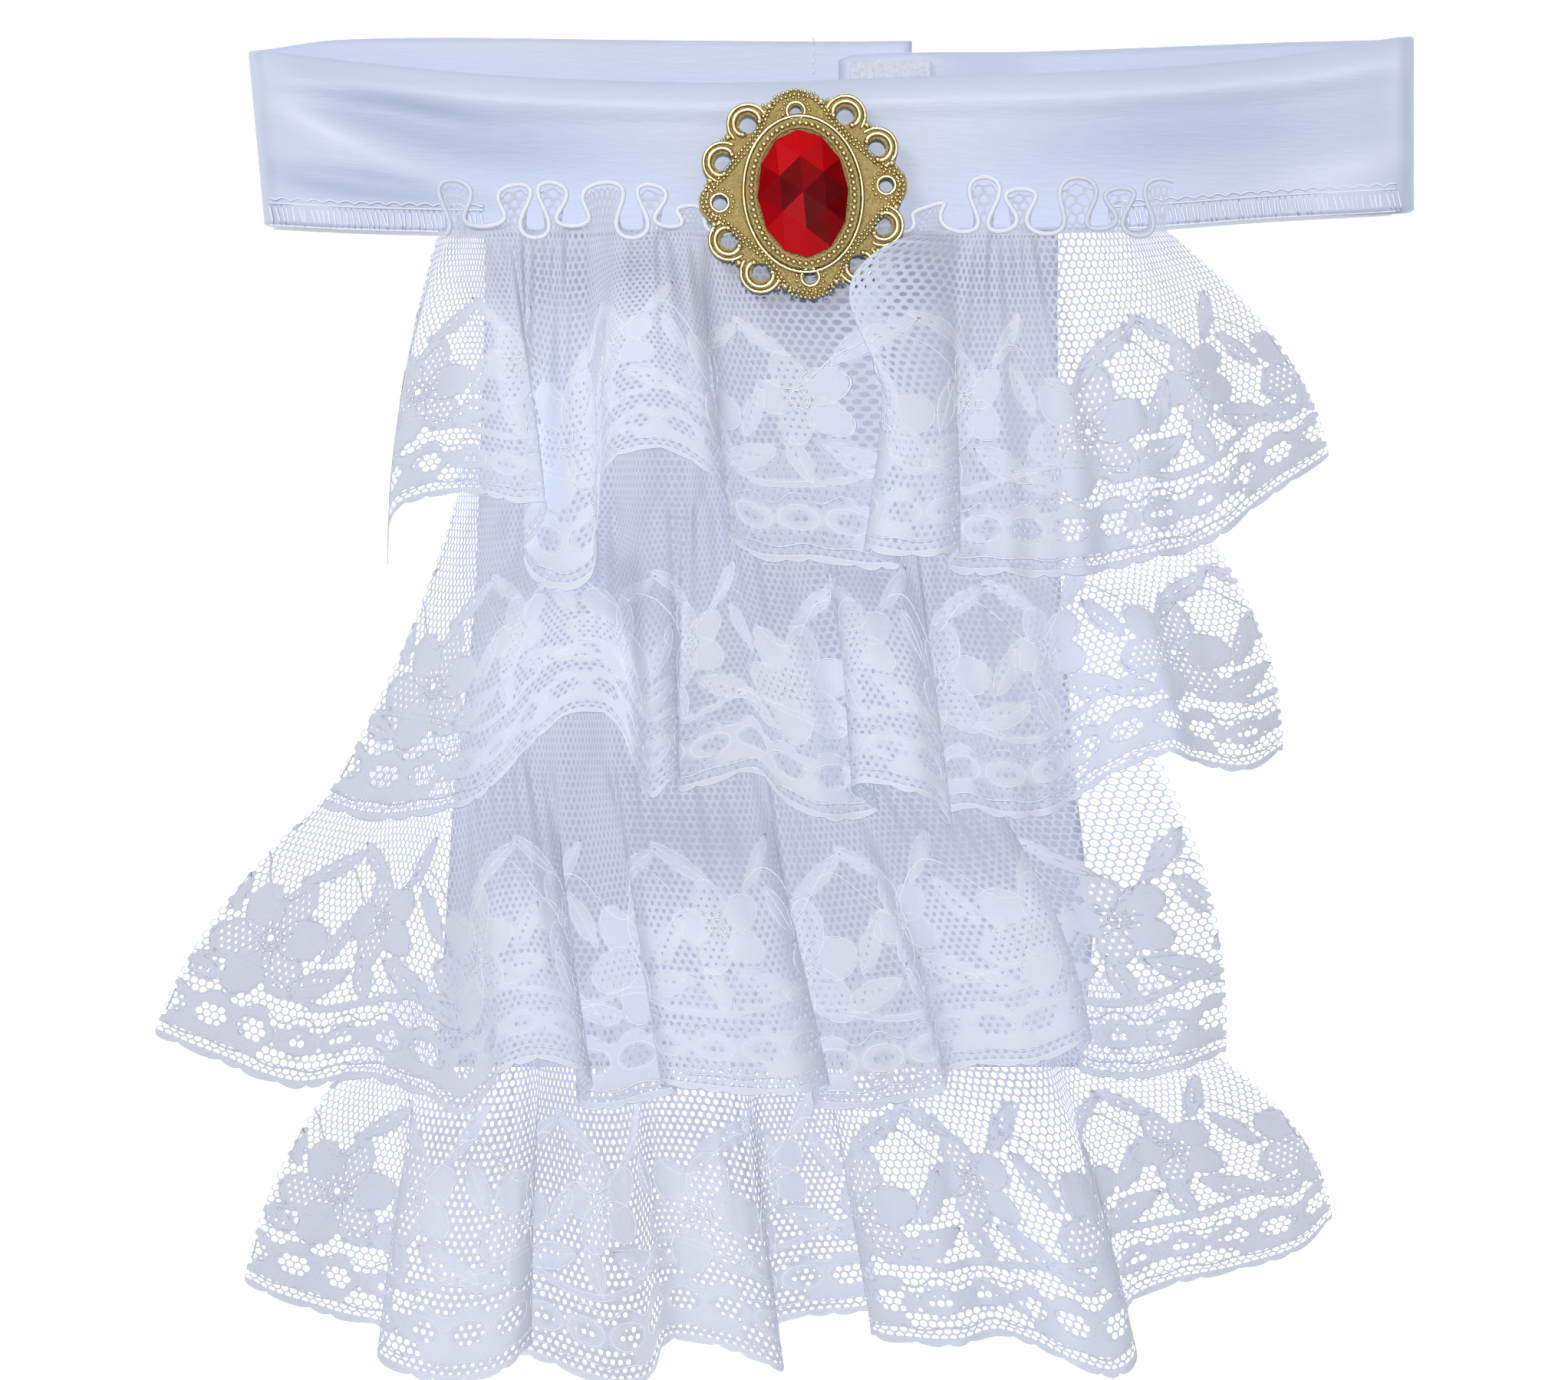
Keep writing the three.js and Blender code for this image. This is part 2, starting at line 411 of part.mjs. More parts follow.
function broochFrameGeometry() {
  const plate = new THREE.ExtrudeGeometry(rimShape(), { depth: BROOCH.plate, bevelEnabled: false, curveSegments: 6 });
  const bezel = bezelGeometry().translate(0, 0, BROOCH.plate / 2);
  return toGeometry(toManifold(plate).add(toManifold(bezel)));
}

// A flat-backed oval stone: a thin girdle, a ring of six corners turned half a step, and the point
function gemGeometry() {
  const rings = [
    { size: 1, z: 0, count: GEM.sides, turn: 0 },
    { size: 1, z: GEM.girdle, count: GEM.sides, turn: 0 },
    { size: GEM.ring, z: GEM.girdle + GEM.rise * GEM.ringRise, count: GEM.sides / 2, turn: 0.5 },
    { size: 0, z: GEM.girdle + GEM.rise, count: 1, turn: 0 },
  ];
  const points = rings.flatMap(({ size, z, count, turn }) => steps(count).slice(0, -1).map((k) => {
    const angle = 2 * Math.PI * (k + turn / count);
    return new THREE.Vector3(...ellipsePoint((size * GEM.wide) / 2, (size * GEM.high) / 2, angle), z);
  }));
  return new ConvexGeometry(points);
}

const jabot = new THREE.Group();

function addPiece(parent, name, geometry, material) {
  const mesh = new THREE.Mesh(geometry, material);
  mesh.name = name;
  parent.add(mesh);
}

addPiece(jabot, 'neckband', neckbandGeometry(), satin);
addPiece(jabot, 'hook_patch', hookPatchGeometry(), fuzz);
addPiece(jabot, 'backing_panel', panelGeometry(), satin);
for (const ruffle of RUFFLES) addPiece(jabot, ruffle.name, ruffleGeometry(ruffle), lace);

const brooch = new THREE.Group();
brooch.position.set(BROOCH.x, BROOCH.y, BROOCH_BACK_Z);
brooch.rotation.z = BROOCH.turn;
addPiece(brooch, 'brooch_frame', broochFrameGeometry(), gilt);
const gemSeat = new THREE.Group();
gemSeat.position.z = BROOCH.plate + SEAM_GAP;
addPiece(gemSeat, 'brooch_gem', gemGeometry(), ruby);
brooch.add(gemSeat);
jabot.add(brooch);

// The origin is the middle of the footprint, on the surface that the jabot lies on
jabot.updateMatrixWorld(true);
const box = new THREE.Box3().setFromObject(jabot, true);
const middle = box.getCenter(new THREE.Vector3());
jabot.position.set(-middle.x, -middle.y, -box.min.z);

export default jabot;
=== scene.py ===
# %% [markdown]
# A lace jabot, laid flat. A jabot is a fall of lace worn at the throat: a satin neckband closes behind the
# neck, and four gathered strips of lace hang from it on a satin panel, under a gilt brooch with a red stone.
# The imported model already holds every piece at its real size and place. This lesson makes the surfaces: lace
# with real holes, satin with a soft sheen, plated metal and a faceted stone. Sizes below are in millimetres,
# and one scale at the end of each mesh turns them into Blender's metres.

import bmesh
import bpy
import numpy as np
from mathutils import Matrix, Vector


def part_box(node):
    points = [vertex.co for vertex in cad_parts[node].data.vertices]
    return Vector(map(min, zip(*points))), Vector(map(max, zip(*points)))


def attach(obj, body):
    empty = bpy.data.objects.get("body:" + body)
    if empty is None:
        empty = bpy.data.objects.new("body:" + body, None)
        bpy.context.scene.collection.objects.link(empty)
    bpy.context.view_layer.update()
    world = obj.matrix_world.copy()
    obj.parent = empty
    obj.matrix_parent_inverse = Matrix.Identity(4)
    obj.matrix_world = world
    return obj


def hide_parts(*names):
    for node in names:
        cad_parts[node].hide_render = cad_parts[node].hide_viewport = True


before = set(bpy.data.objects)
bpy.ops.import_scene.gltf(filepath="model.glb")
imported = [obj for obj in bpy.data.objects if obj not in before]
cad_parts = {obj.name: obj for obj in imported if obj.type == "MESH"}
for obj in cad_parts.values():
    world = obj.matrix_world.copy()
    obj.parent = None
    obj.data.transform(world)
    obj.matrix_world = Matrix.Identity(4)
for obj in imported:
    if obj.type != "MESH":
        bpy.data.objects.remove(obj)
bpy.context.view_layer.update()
MM = 0.001
print("pieces in the frame:", len(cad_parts))

# %% [markdown]
# The pieces were measured from the middle of the garment, and the model's origin is the middle of its
# footprint. One offset joins the two: the right fold of the neckband and its highest edge are known in both.

# %% The offset between the garment's own measures and the model's origin
BAND_RIGHT = 124.3
BAND_HIGHEST = 131.9
band_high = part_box("neckband")[1]
DATUM = np.array([band_high.x / MM - BAND_RIGHT, band_high.y / MM - BAND_HIGHEST, 0.0])
print("datum offset, mm:", DATUM.round(2))

# %% [markdown]
# The camera looks straight down on the table, with the neckband at the top of the picture. A long lens from
# about 0.9 m keeps the upper layers from growing against the lower ones, as a product photographer would.

# %% Camera
PICTURE_WIDE = 306.6
PICTURE_CENTRE = np.array([0.4, 3.3])
LENS = 105.0
SENSOR = 36.0
MIDDLE_HEIGHT = 8.0

camera = bpy.data.objects.new("camera", bpy.data.cameras.new("camera"))
camera.data.lens = LENS
camera.data.sensor_width = SENSOR
distance = PICTURE_WIDE * LENS / SENSOR + MIDDLE_HEIGHT
camera.location = np.array([*(PICTURE_CENTRE + DATUM[:2]), distance]) * MM
camera.data.clip_start = 0.05
bpy.context.scene.collection.objects.link(camera)
bpy.context.scene.camera = camera
print("camera height, mm:", round(distance))

# %% [markdown]
# Shader maths reads best as ordinary expressions. Value wraps a node's output, and each operator adds one
# Math node. Finish owns one material, and its node method adds any other node from its type, settings and
# sockets. A socket is named, or is i and its number where two sockets have the same name.

# %% Shader helpers
class Value:
    """A node's output that can be used in a Python expression."""

    def __init__(self, tree, socket):
        self.tree = tree
        self.socket = socket

    def maths(self, operation, *terms):
        node = self.tree.nodes.new("ShaderNodeMath")
        node.operation = operation
        for slot, term in zip(node.inputs, terms):
            if isinstance(term, Value):
                self.tree.links.new(term.socket, slot)
            else:
                slot.default_value = term
        return Value(self.tree, node.outputs[0])

    def __add__(self, other):
        return self.maths("ADD", self, other)

    def __radd__(self, other):
        return self.maths("ADD", other, self)

    def __sub__(self, other):
        return self.maths("SUBTRACT", self, other)

    def __rsub__(self, other):
        return self.maths("SUBTRACT", other, self)

    def __mul__(self, other):
        return self.maths("MULTIPLY", self, other)

    def __rmul__(self, other):
        return self.maths("MULTIPLY", other, self)


class Nodes:
    """A node tree, and the one way to add a node to it."""

    def __init__(self, tree):
        self.tree = tree

    def node(self, kind, settings=None, output=0, **sockets):
        node = self.tree.nodes.new(kind)
        for name, value in (settings or {}).items():
            setattr(node, name, value)
        for name, value in sockets.items():
            numbered = name[0] == "i" and name[1:].isdigit()
            socket = node.inputs[int(name[1:]) if numbered else name]
            if isinstance(value, Value):
                self.tree.links.new(value.socket, socket)
            else:
                socket.default_value = value
        return Value(self.tree, node.outputs[output])


class Finish(Nodes):
    """One material: a Principled shader, and the nodes that feed it."""

    def __init__(self, name, **constants):
        self.material = bpy.data.materials.new(name)
        self.material.use_nodes = True
        super().__init__(self.material.node_tree)
        self.shader = self.tree.nodes["Principled BSDF"]
        for socket, value in constants.items():
            self.shader.inputs[socket.replace("_", " ")].default_value = value

    def noise(self, scale, detail=2.0, stretch=(1, 1, 1)):
        """Noise on the piece's own coordinates in metres. More than 1 in stretch makes it finer that way."""
        place = self.node("ShaderNodeTexCoord", output=3)
        scaled = self.node("ShaderNodeMapping", Vector=place, Scale=stretch)
        return self.node("ShaderNodeTexNoise", Vector=scaled, Scale=scale, Detail=detail)

    def attribute(self, name):
        return self.node("ShaderNodeAttribute", {"attribute_name": name}, output=2)

    def blend(self, amount, first, second):
        return self.node("ShaderNodeMix", {"data_type": "RGBA"}, output=2, i0=amount, i6=first, i7=second)

    def bump(self, height, deep):
        return self.node("ShaderNodeBump", Height=height, Distance=deep, Strength=1.0)

    def feed(self, **links):
        for socket, value in links.items():
            self.tree.links.new(value.socket, self.shader.inputs[socket.replace("_", " ")])
        return self.material


# %% [markdown]
# Satin is a warp-faced weave: long floats all run one way, so it shines softly along a band and not in
# points. Here a fine rib, stretched along the cloth, stands for the floats, and a low noise changes its tone
# a little. The cloth of the band also carries an attribute called weight, which is high on its soft ridges
# and low in its hollows, and it paints them lighter and darker: a painted sheen and a painted shade.

# %% Satin
SATIN_LIGHT = (0.70, 0.765, 0.90, 1)
SATIN_SHADE = (0.42, 0.48, 0.65, 1)

satin = Finish("satin", Sheen_Weight=0.35, Sheen_Roughness=0.4, Specular_IOR_Level=0.35)
floats = satin.noise(900, detail=3, stretch=(0.25, 1.6, 1))
tone = satin.noise(28, detail=3)
# Painted sheen and shade: the band's weight paints its ridges and top roll lighter, its hollows darker.
painted_sheen = satin.attribute("weight")
satin_material = satin.feed(
    Base_Color=satin.blend(painted_sheen + 0.10 * floats + 0.16 * tone - 0.13, SATIN_SHADE, SATIN_LIGHT),
    Roughness=0.36 + 0.14 * floats,
    Normal=satin.bump(floats, 0.00006),
)
print("nodes in the satin's finish:", len(satin.tree.nodes))

# %% [markdown]
# The backing panel is the same satin with its floats running down. It lies in the shade of four tiers and
# shows through them, so its two tones are painted darker as that shade, and long low creases run down it
# too, bumped into it and painted darker in their hollows.

# %% Lining
LINING_LIGHT = (0.44, 0.47, 0.575, 1)
LINING_SHADE = (0.36, 0.39, 0.485, 1)

lining = Finish("lining", Sheen_Weight=0.3, Specular_IOR_Level=0.3)
lining_floats = lining.noise(900, detail=3, stretch=(1.6, 0.25, 1))
# Painted shade: the creases also darken the colour in their hollows, besides bumping it.
creases = lining.noise(22, detail=2, stretch=(1.8, 0.7, 1))
lining_material = lining.feed(
    Base_Color=lining.blend(0.25 * lining_floats + 1.4 * creases - 0.3, LINING_SHADE, LINING_LIGHT),
    Roughness=0.42 + 0.16 * lining_floats,
    Normal=lining.bump(0.1 * lining_floats + creases, 0.0006),
)
print("nodes in the lining's finish:", len(lining.tree.nodes))

# %% [markdown]
# Lace is nylon thread. Its net is loose and lets the ground through, while its solid flowers and its outlines
# are thick thread that catches more light. Each mesh carries an attribute called weight, from 0 on the net to
# 1 on the outlines, so one material follows the pattern. A second attribute paints light and shade: it is
# low, a painted shade, where the satin lies behind the net and its shade would deepen it, higher in the open
# wings, and highest, a painted highlight, on the crests of folds, which stand up into the light.

# %% Lace thread
NET_COLOUR = (0.515, 0.545, 0.625, 1)
LACE_HIGHLIGHT_COLOUR = (0.68, 0.745, 0.885, 1)
CORD_COLOUR = (0.82, 0.865, 0.95, 1)

thread = Finish("lace", Sheen_Weight=0.25, Sheen_Roughness=0.5, Specular_IOR_Level=0.3)
twist = thread.noise(1600, detail=2)
# Painted light: the net's colour runs from painted shade to painted highlight by place.
net_lit_colour = thread.blend(thread.attribute("backed"), NET_COLOUR, LACE_HIGHLIGHT_COLOUR)
thread_material = thread.feed(
    Base_Color=thread.blend(thread.attribute("weight") + 0.25 * twist - 0.12, net_lit_colour, CORD_COLOUR),
    Roughness=0.62 + 0.2 * twist,
    Normal=thread.bump(twist, 0.00008),
)
print("nodes in the lace's finish:", len(thread.tree.nodes))

# %% [markdown]
# Every new surface is worked out as whole arrays: points in millimetres, and blocks of faces that have the
# same number of corners. One helper puts them into a mesh, and a collector gathers many small shapes into the
# arrays of one mesh.

# %% Meshes from arrays
def new_piece(name, points, blocks, material, smooth=True, **attributes):
    """A mesh from points in mm and arrays of face corners, one for each corner count."""
    mesh = bpy.data.meshes.new(name)
    corners = np.concatenate([np.asarray(b).ravel() for b in blocks]).astype(np.int32)
    counts = np.concatenate([np.full(len(b), np.shape(b)[1]) for b in blocks])
    starts = np.concatenate([[0], np.cumsum(counts)[:-1]]).astype(np.int32)
    mesh.vertices.add(len(points))
    mesh.vertices.foreach_set("co", ((points + DATUM) * MM).astype(np.float32).ravel())
    mesh.loops.add(len(corners))
    mesh.loops.foreach_set("vertex_index", corners)
    mesh.polygons.add(len(counts))
    mesh.polygons.foreach_set("loop_start", starts)
    mesh.polygons.foreach_set("use_smooth", np.full(len(counts), smooth))
    mesh.update(calc_edges=True)
    mesh.validate()
    for attribute, values in attributes.items():
        mesh.attributes.new(attribute, "FLOAT", "POINT").data.foreach_set("value", values.astype(np.float32))
    piece = bpy.data.objects.new(name, mesh)
    bpy.context.scene.collection.objects.link(piece)
    mesh.materials.append(material)
    return piece


class Collector:
    """Points, their weights and their faces, gathered from many shapes for one mesh."""

    def __init__(self):
        self.points = []
        self.weights = []
        self.faces = []
        self.count = 0

    def add(self, points, weight, *blocks):
        """A shape's points, their weight or weights, and its faces, which count from its first point."""
        self.points.append(points)
        self.weights.append(np.broadcast_to(weight, len(points)))
        self.faces += [block + self.count for block in blocks]
        self.count += len(points)


def grid_faces(wide, long):
    """Four-cornered faces of a grid with that many points each way, facing up when rows go down the cloth."""
    j, i = np.meshgrid(np.arange(long - 1), np.arange(wide - 1), indexing="ij")
    a = (j * wide + i).ravel()
    return np.stack([a, a + wide, a + wide + 1, a + 1], axis=1)


def tube_faces(around, long):
    """Four-cornered faces of a closed tube, whose rows of points run along it, one row for each corner."""
    j, i = np.meshgrid(np.arange(around), np.arange(long - 1), indexing="ij")
    a = (j * long + i).ravel()
    b = ((j + 1) % around * long + i).ravel()
    return np.stack([a, b, b + 1, a + 1], axis=1)


def triangles(piece):
    piece.data.calc_loop_triangles()
    return len(piece.data.loop_triangles)


# %% [markdown]
# A gathered strip is a surface with two parameters. u runs along the strip. v runs from the gathering thread
# (0) to the free edge (1), and is negative on the heading above the thread. The free edge is a smooth curve
# through a short table, one row for each crest, trough or tuck, so each fold stands where it is wanted.

# %% Smooth curves through a table
class RowCurve:
    """A curve through table rows: t is the share of the chord length, and every column is a cubic of it."""

    def __init__(self, rows, length_columns):
        self.rows = np.array(rows, float)
        steps = np.linalg.norm(np.diff(self.rows[:, length_columns], axis=0), axis=1)
        self.at = np.concatenate([[0], np.cumsum(steps)])
        self.length = self.at[-1]
        last = len(rows) - 1
        before = np.maximum(np.arange(last + 1) - 1, 0)
        after = np.minimum(np.arange(last + 1) + 1, last)
        self.slope = (self.rows[after] - self.rows[before]) / (self.at[after] - self.at[before])[:, None]

    def __call__(self, t):
        s = np.clip(t, 0, 1) * self.length
        i = np.clip(np.searchsorted(self.at, s, side="right") - 1, 0, len(self.rows) - 2)
        span = (self.at[i + 1] - self.at[i])[..., None]
        k = (s - self.at[i])[..., None] / span
        start = self.rows[i] * (2 * k**3 - 3 * k**2 + 1) + self.slope[i] * span * (k**3 - 2 * k**2 + k)
        return start + self.rows[i + 1] * (3 * k**2 - 2 * k**3) + self.slope[i + 1] * span * (k**3 - k**2)


def smoothstep(low, high, x):
    k = np.clip((x - low) / (high - low), 0, 1)
    return k * k * (3 - 2 * k)


print("a smooth step from 0 to 1, at its quarters:", smoothstep(0, 1, np.array([0.25, 0.5, 0.75])))

# %% [markdown]
# The four tiers. A row of a hem's table is its x, its drop below the seam, its height, and the x of its place
# on the gathering thread. bow bends the two ends of a strip outwards, and rise is the part of the drop in
# which the cloth climbs to its fold. throat is 1 for the first tier alone: its heading stands free, and one
# tall fold of it lies over the brooch. The headings of the other three lie flat, hidden under the tier above.

# %% The four tiers
FIRST_SEAM_Z = 7.75
LOWER_SEAM_Z = 2.0
LAST_SEAM_Z = 2.3
TIERS = {
    "ruffle_1": dict(
        seam=93.2, seam_z=FIRST_SEAM_Z, bow=(1, 0.8), rise=(0, 0.5), gathers=15.5, heading=8.0, throat=1,
        hem=[
            (-77.5, 65, 3.5, -67), (-76, 54.5, 6.5, -64.5), (-69, 51.5, 8.5, -62.5),
            (-59.5, 51, 13.5, -60.5), (-51.5, 53, 19, -58), (-46, 53, 18.5, -55.5),
            (-47, 57.5, 15.2, -52.5), (-50.5, 62.5, 12.2, -49), (-47.5, 68, 11.8, -45),
            (-41, 69.5, 16.8, -41.5), (-36.5, 66.5, 17.6, -38), (-35.5, 56, 18.8, -35),
            (-33, 45.5, 21.5, -31.5), (-23.5, 43, 23, -25.5), (-15, 47, 21.5, -21),
            (-11, 52.5, 17.5, -17.5), (-10, 59.5, 12.5, -15.5), (-4.5, 63.5, 10, -12.5),
            (6.5, 64, 10, -6.5), (17.5, 65.5, 10, 7), (23, 65, 9.8, 20), (20, 63.5, 14, 23),
            (16, 62, 18, 25.5), (18, 62.5, 21.5, 28), (24, 63.5, 22.5, 30), (30.5, 63, 20.5, 32.5),
            (34.5, 62, 15.5, 34.5), (32, 65.5, 11, 37), (36.5, 66.5, 10, 39), (43.5, 66.5, 12, 42.5),
            (49.5, 67, 10, 45.5), (58, 66.5, 12.5, 49.5), (64.5, 65.5, 10, 55), (72, 63.5, 11, 61),
            (79, 62, 9, 64.5), (85.5, 59, 10.5, 67.5), (94.5, 52, 7, 70.5), (107.5, 43.5, 3, 75),
        ]),
    "ruffle_2": dict(
        seam=41.8, seam_z=LOWER_SEAM_Z, bow=(-0.4, 1), rise=(0.12, 0.62), gathers=14, heading=9.5, throat=0,
        hem=[
            (-90, 60.5, 6.5, -64), (-80, 63, 8, -61), (-69, 62, 9.5, -58), (-60, 59.5, 14, -55),
            (-54.5, 55, 18, -51), (-47.5, 47.5, 18.5, -46.5), (-40.5, 42.5, 19.5, -41.5),
            (-34.5, 42.5, 19.5, -36.5), (-31, 46, 19.5, -33), (-28.5, 52.5, 19, -30.5),
            (-25.5, 58.5, 17, -28), (-22, 56, 15.5, -25.5), (-20, 54.5, 12.2, -22.5),
            (-20.5, 57.5, 8.6, -19), (-13.5, 56, 8, -16), (-5, 54, 9, -12), (0.5, 59.5, 11, -8),
            (9, 63, 12, -2), (16, 62.5, 9.5, 1.5), (19, 61.5, 10.5, 4.5), (16.5, 59.5, 14.5, 7),
            (13.5, 57, 18.5, 9.5), (15.5, 55.5, 21.5, 12.5), (23, 57, 22.5, 16.5), (29, 59, 20.5, 21),
            (33, 64.5, 16, 24), (31, 62, 10.5, 26.5), (36.5, 61, 8.5, 29.5), (43.5, 62.5, 11.5, 34),
            (51.5, 62, 9.5, 40), (57.5, 58.5, 14.5, 45), (64, 54, 18, 50.5), (75, 50, 17, 58.5),
            (80.5, 52, 11, 64.5), (91, 53.5, 7, 71.5), (98.5, 49.5, 3, 78),
        ]),
    "ruffle_3": dict(
        seam=-9.8, seam_z=LOWER_SEAM_Z, bow=(0.6, 1.2), rise=(0.08, 0.58), gathers=14, heading=9.5, throat=0,
        hem=[
            (-123.5, 54, 1.6, -80), (-109.5, 59.5, 2.6, -77), (-96, 64, 5, -74), (-81, 62, 8, -71),
            (-69, 66, 8, -68), (-62.5, 69, 9, -65), (-57, 64, 13, -62), (-53.5, 59.5, 18, -58),
            (-46, 57.5, 21.5, -53), (-39.5, 59.5, 19.5, -49.5), (-37, 62.5, 14.5, -46.5),
            (-40, 67, 9.5, -44), (-34, 68, 8, -40.5), (-26.5, 66, 8.5, -37.5), (-20.5, 64.5, 11, -35.5),
            (-23.5, 62.5, 16, -33), (-20.5, 62.5, 21, -29), (-10.5, 63.5, 23, -21), (0.5, 64, 22, -12),
            (6.5, 63, 18.5, -7.5), (9, 62.5, 14, -5.5), (6, 67, 9, -3.5), (14, 68, 8, 0),
            (23, 66.5, 9, 4.5), (31.5, 64, 11, 9), (32.5, 60, 16, 12.5), (39.5, 58.5, 20.5, 18),
            (49, 58, 21.5, 25.5), (56.5, 55, 19.5, 31.5), (60, 54, 14.5, 35), (57.5, 59.5, 10, 37.5),
            (65, 62, 8.5, 43), (75, 61, 9.5, 55), (87, 57, 7, 74),
        ]),
    "ruffle_4": dict(
        seam=-61.3, seam_z=LAST_SEAM_Z, bow=(0.7, 0.9), rise=(0.12, 0.62), gathers=16, heading=9.5, throat=0,
        hem=[
            (-106, 51.5, 0.5, -78), (-100.5, 54, 1.4, -76), (-88.5, 58, 1, -73.5), (-77, 61, 3, -70.5),
            (-79, 65, 7.5, -68), (-73.5, 67.5, 12, -64.5), (-63, 69, 14.5, -58), (-54, 66.5, 13.5, -51.5),
            (-49, 62, 9, -48), (-52, 64.5, 3.5, -46), (-46, 67, 1.2, -44), (-40.5, 69.5, 1, -41.5),
            (-33, 71.5, 2.4, -37), (-26, 69.5, 6, -32), (-23, 62.5, 9, -29), (-19.5, 61, 12.5, -26),
            (-12, 62, 15, -19.5), (-5.5, 64.5, 14.5, -13), (0, 67, 11, -9), (-1.5, 59.5, 4.5, -7),
            (5.5, 58, 1.4, -3), (13.5, 57.5, 1, 1.5), (20, 56.5, 3.5, 5), (17.5, 60.5, 8, 7.5),
            (25.5, 62, 11, 11.5), (35, 62, 12, 18), (42, 60.5, 9.5, 22.5), (48.5, 62, 12, 28),
            (56.5, 65.5, 15, 35.5), (64.5, 68, 13.5, 43.5), (69, 65, 9, 48), (67.5, 56.5, 3, 51.5),
            (76.5, 52, 1, 57), (90, 49, 1.4, 64), (102, 45, 0.8, 70.5), (108.5, 39, 0.5, 76),
        ]),
}
print("rows in each hem:", {name: len(tier["hem"]) for name, tier in TIERS.items()})

# %% [markdown]
# A point of the strip lies a share of the way from its place on the seam to its place on the hem. Added to
# that are the gathers at the thread, the waves of the free heading, small pleats, and the throat fold, and
# the gathers fade away downwards. The heading is pressed flatter where the brooch sits on it.

# %% The surface of a gathered strip
STRIP_HIGH = 68.0
GATHER_DEEP = 1.6
UNEVEN = dict(shift=0.9, often=0.41, swing_often=0.53)
HEADING = dict(lift=4.2, lean=4.0, swing=5.9, curl=1.9, band=1.5, edge=0.5)
THROAT_FOLD = dict(top=30.5, wide=3.6, sway=-16.0, lift=12.0, sway_at=0.2, lift_soon=0.06)
PRESSED = dict(start=-18, end=27, soft=5, keep=0.5)
PLEAT = dict(deep=0.55, to_gather=2.7, soon=0.08)
RIPPLE = dict(deep=0.45, waves=19)
FLOOR_CLEAR = 0.12
NORMAL_STEP = 1e-3


def ruffle_surface(tier):
    """The middle of the strip as a function of u and v, and the length of its free edge."""
    hem = RowCurve(tier["hem"], (0, 1, 2))
    start, end = tier["hem"][0][3], tier["hem"][-1][3]
    bow_left, bow_right = tier["bow"]
    lean = HEADING["lean"] if tier["throat"] else tier["heading"]

    def surface(u, v):
        u, v = np.broadcast_arrays(np.asarray(u, float), np.asarray(v, float))
        down = np.clip(v, 0, None)
        up = np.clip(-v, 0, None)
        left = np.clip(1 - down, 0, None)
        x_hem, drop, z_hem, seam_x = np.moveaxis(hem(u), -1, 0)
        inside = smoothstep(PRESSED["start"] - PRESSED["soft"], PRESSED["start"], seam_x)
        inside = inside * (1 - smoothstep(PRESSED["end"], PRESSED["end"] + PRESSED["soft"], seam_x))
        free = 1 - (1 - PRESSED["keep"]) * inside * tier["throat"]
        phase = 2 * np.pi * tier["gathers"] * (seam_x - start) / (end - start)
        phase = phase + UNEVEN["shift"] * np.sin(UNEVEN["often"] * phase + 0.5)
        puff = GATHER_DEEP * free * (1 - np.cos(phase)) / 2
        bow = bow_left * np.clip(1 - 2 * u, 0, None) ** 2 + bow_right * np.clip(2 * u - 1, 0, None) ** 2
        spread = down + bow * down * (1 - down)
        heading_up = up * free
        swing = HEADING["swing"] * tier["throat"] * (0.8 + 0.2 * np.sin(UNEVEN["swing_often"] * phase + 1.0))
        curl = HEADING["curl"] * tier["throat"] * heading_up * np.sin(2 * phase)
        x = seam_x + (x_hem - seam_x) * spread + curl
        y = tier["seam"] - drop * down + heading_up * (lean - swing * np.cos(phase))
        z = tier["seam_z"] + (z_hem - tier["seam_z"]) * smoothstep(*tier["rise"], down)
        z = z + puff * (1 - down) ** 3 * (1 - 0.5 * up) + HEADING["lift"] * tier["throat"] * heading_up
        z = z + free * fine_pleats(u, phase, down)
        if tier["throat"]:
            fold = np.exp(-((seam_x - THROAT_FOLD["top"]) / THROAT_FOLD["wide"]) ** 2)
            at = THROAT_FOLD["sway_at"]
            x = x + THROAT_FOLD["sway"] * fold * down * left**4 / (at * (1 - at) ** 4)
            z = z + THROAT_FOLD["lift"] * fold * smoothstep(0, THROAT_FOLD["lift_soon"], down) * left**2.5
        return np.stack([x, y, np.maximum(z, FLOOR_CLEAR)], axis=-1)

    return surface, hem.length


def fine_pleats(u, phase, down):
    """Small pleats of the gathers that run on down the cloth, and a slow ripple near the free edge."""
    fade = smoothstep(0, PLEAT["soon"], down) * np.clip(1 - down, 0, None) ** 1.5
    pleats = PLEAT["deep"] * np.sin(PLEAT["to_gather"] * phase + 1.3 * np.sin(0.7 * phase)) * fade
    wave = 2 * np.pi * (u * RIPPLE["waves"] + 0.5 * np.sin(9 * u) + 0.6 * down)
    return pleats + RIPPLE["deep"] * np.sin(wave) * down**2


def lifted(surface, u, v, lift):
    """Points of a surface moved out along its normal, which comes from two small steps on the surface."""
    along = surface(u + NORMAL_STEP, v) - surface(u - NORMAL_STEP, v)
    down = surface(u, v + NORMAL_STEP) - surface(u, v - NORMAL_STEP)
    normal = np.cross(down, along)
    normal /= np.linalg.norm(normal, axis=-1, keepdims=True) + 1e-9
    out = surface(u, v) + normal * np.asarray(lift)[..., None]
    out[..., 2] = np.maximum(out[..., 2], FLOOR_CLEAR / 2)
    return out


print("lengths of the free edges, mm:", [round(ruffle_surface(tier)[1]) for tier in TIERS.values()])

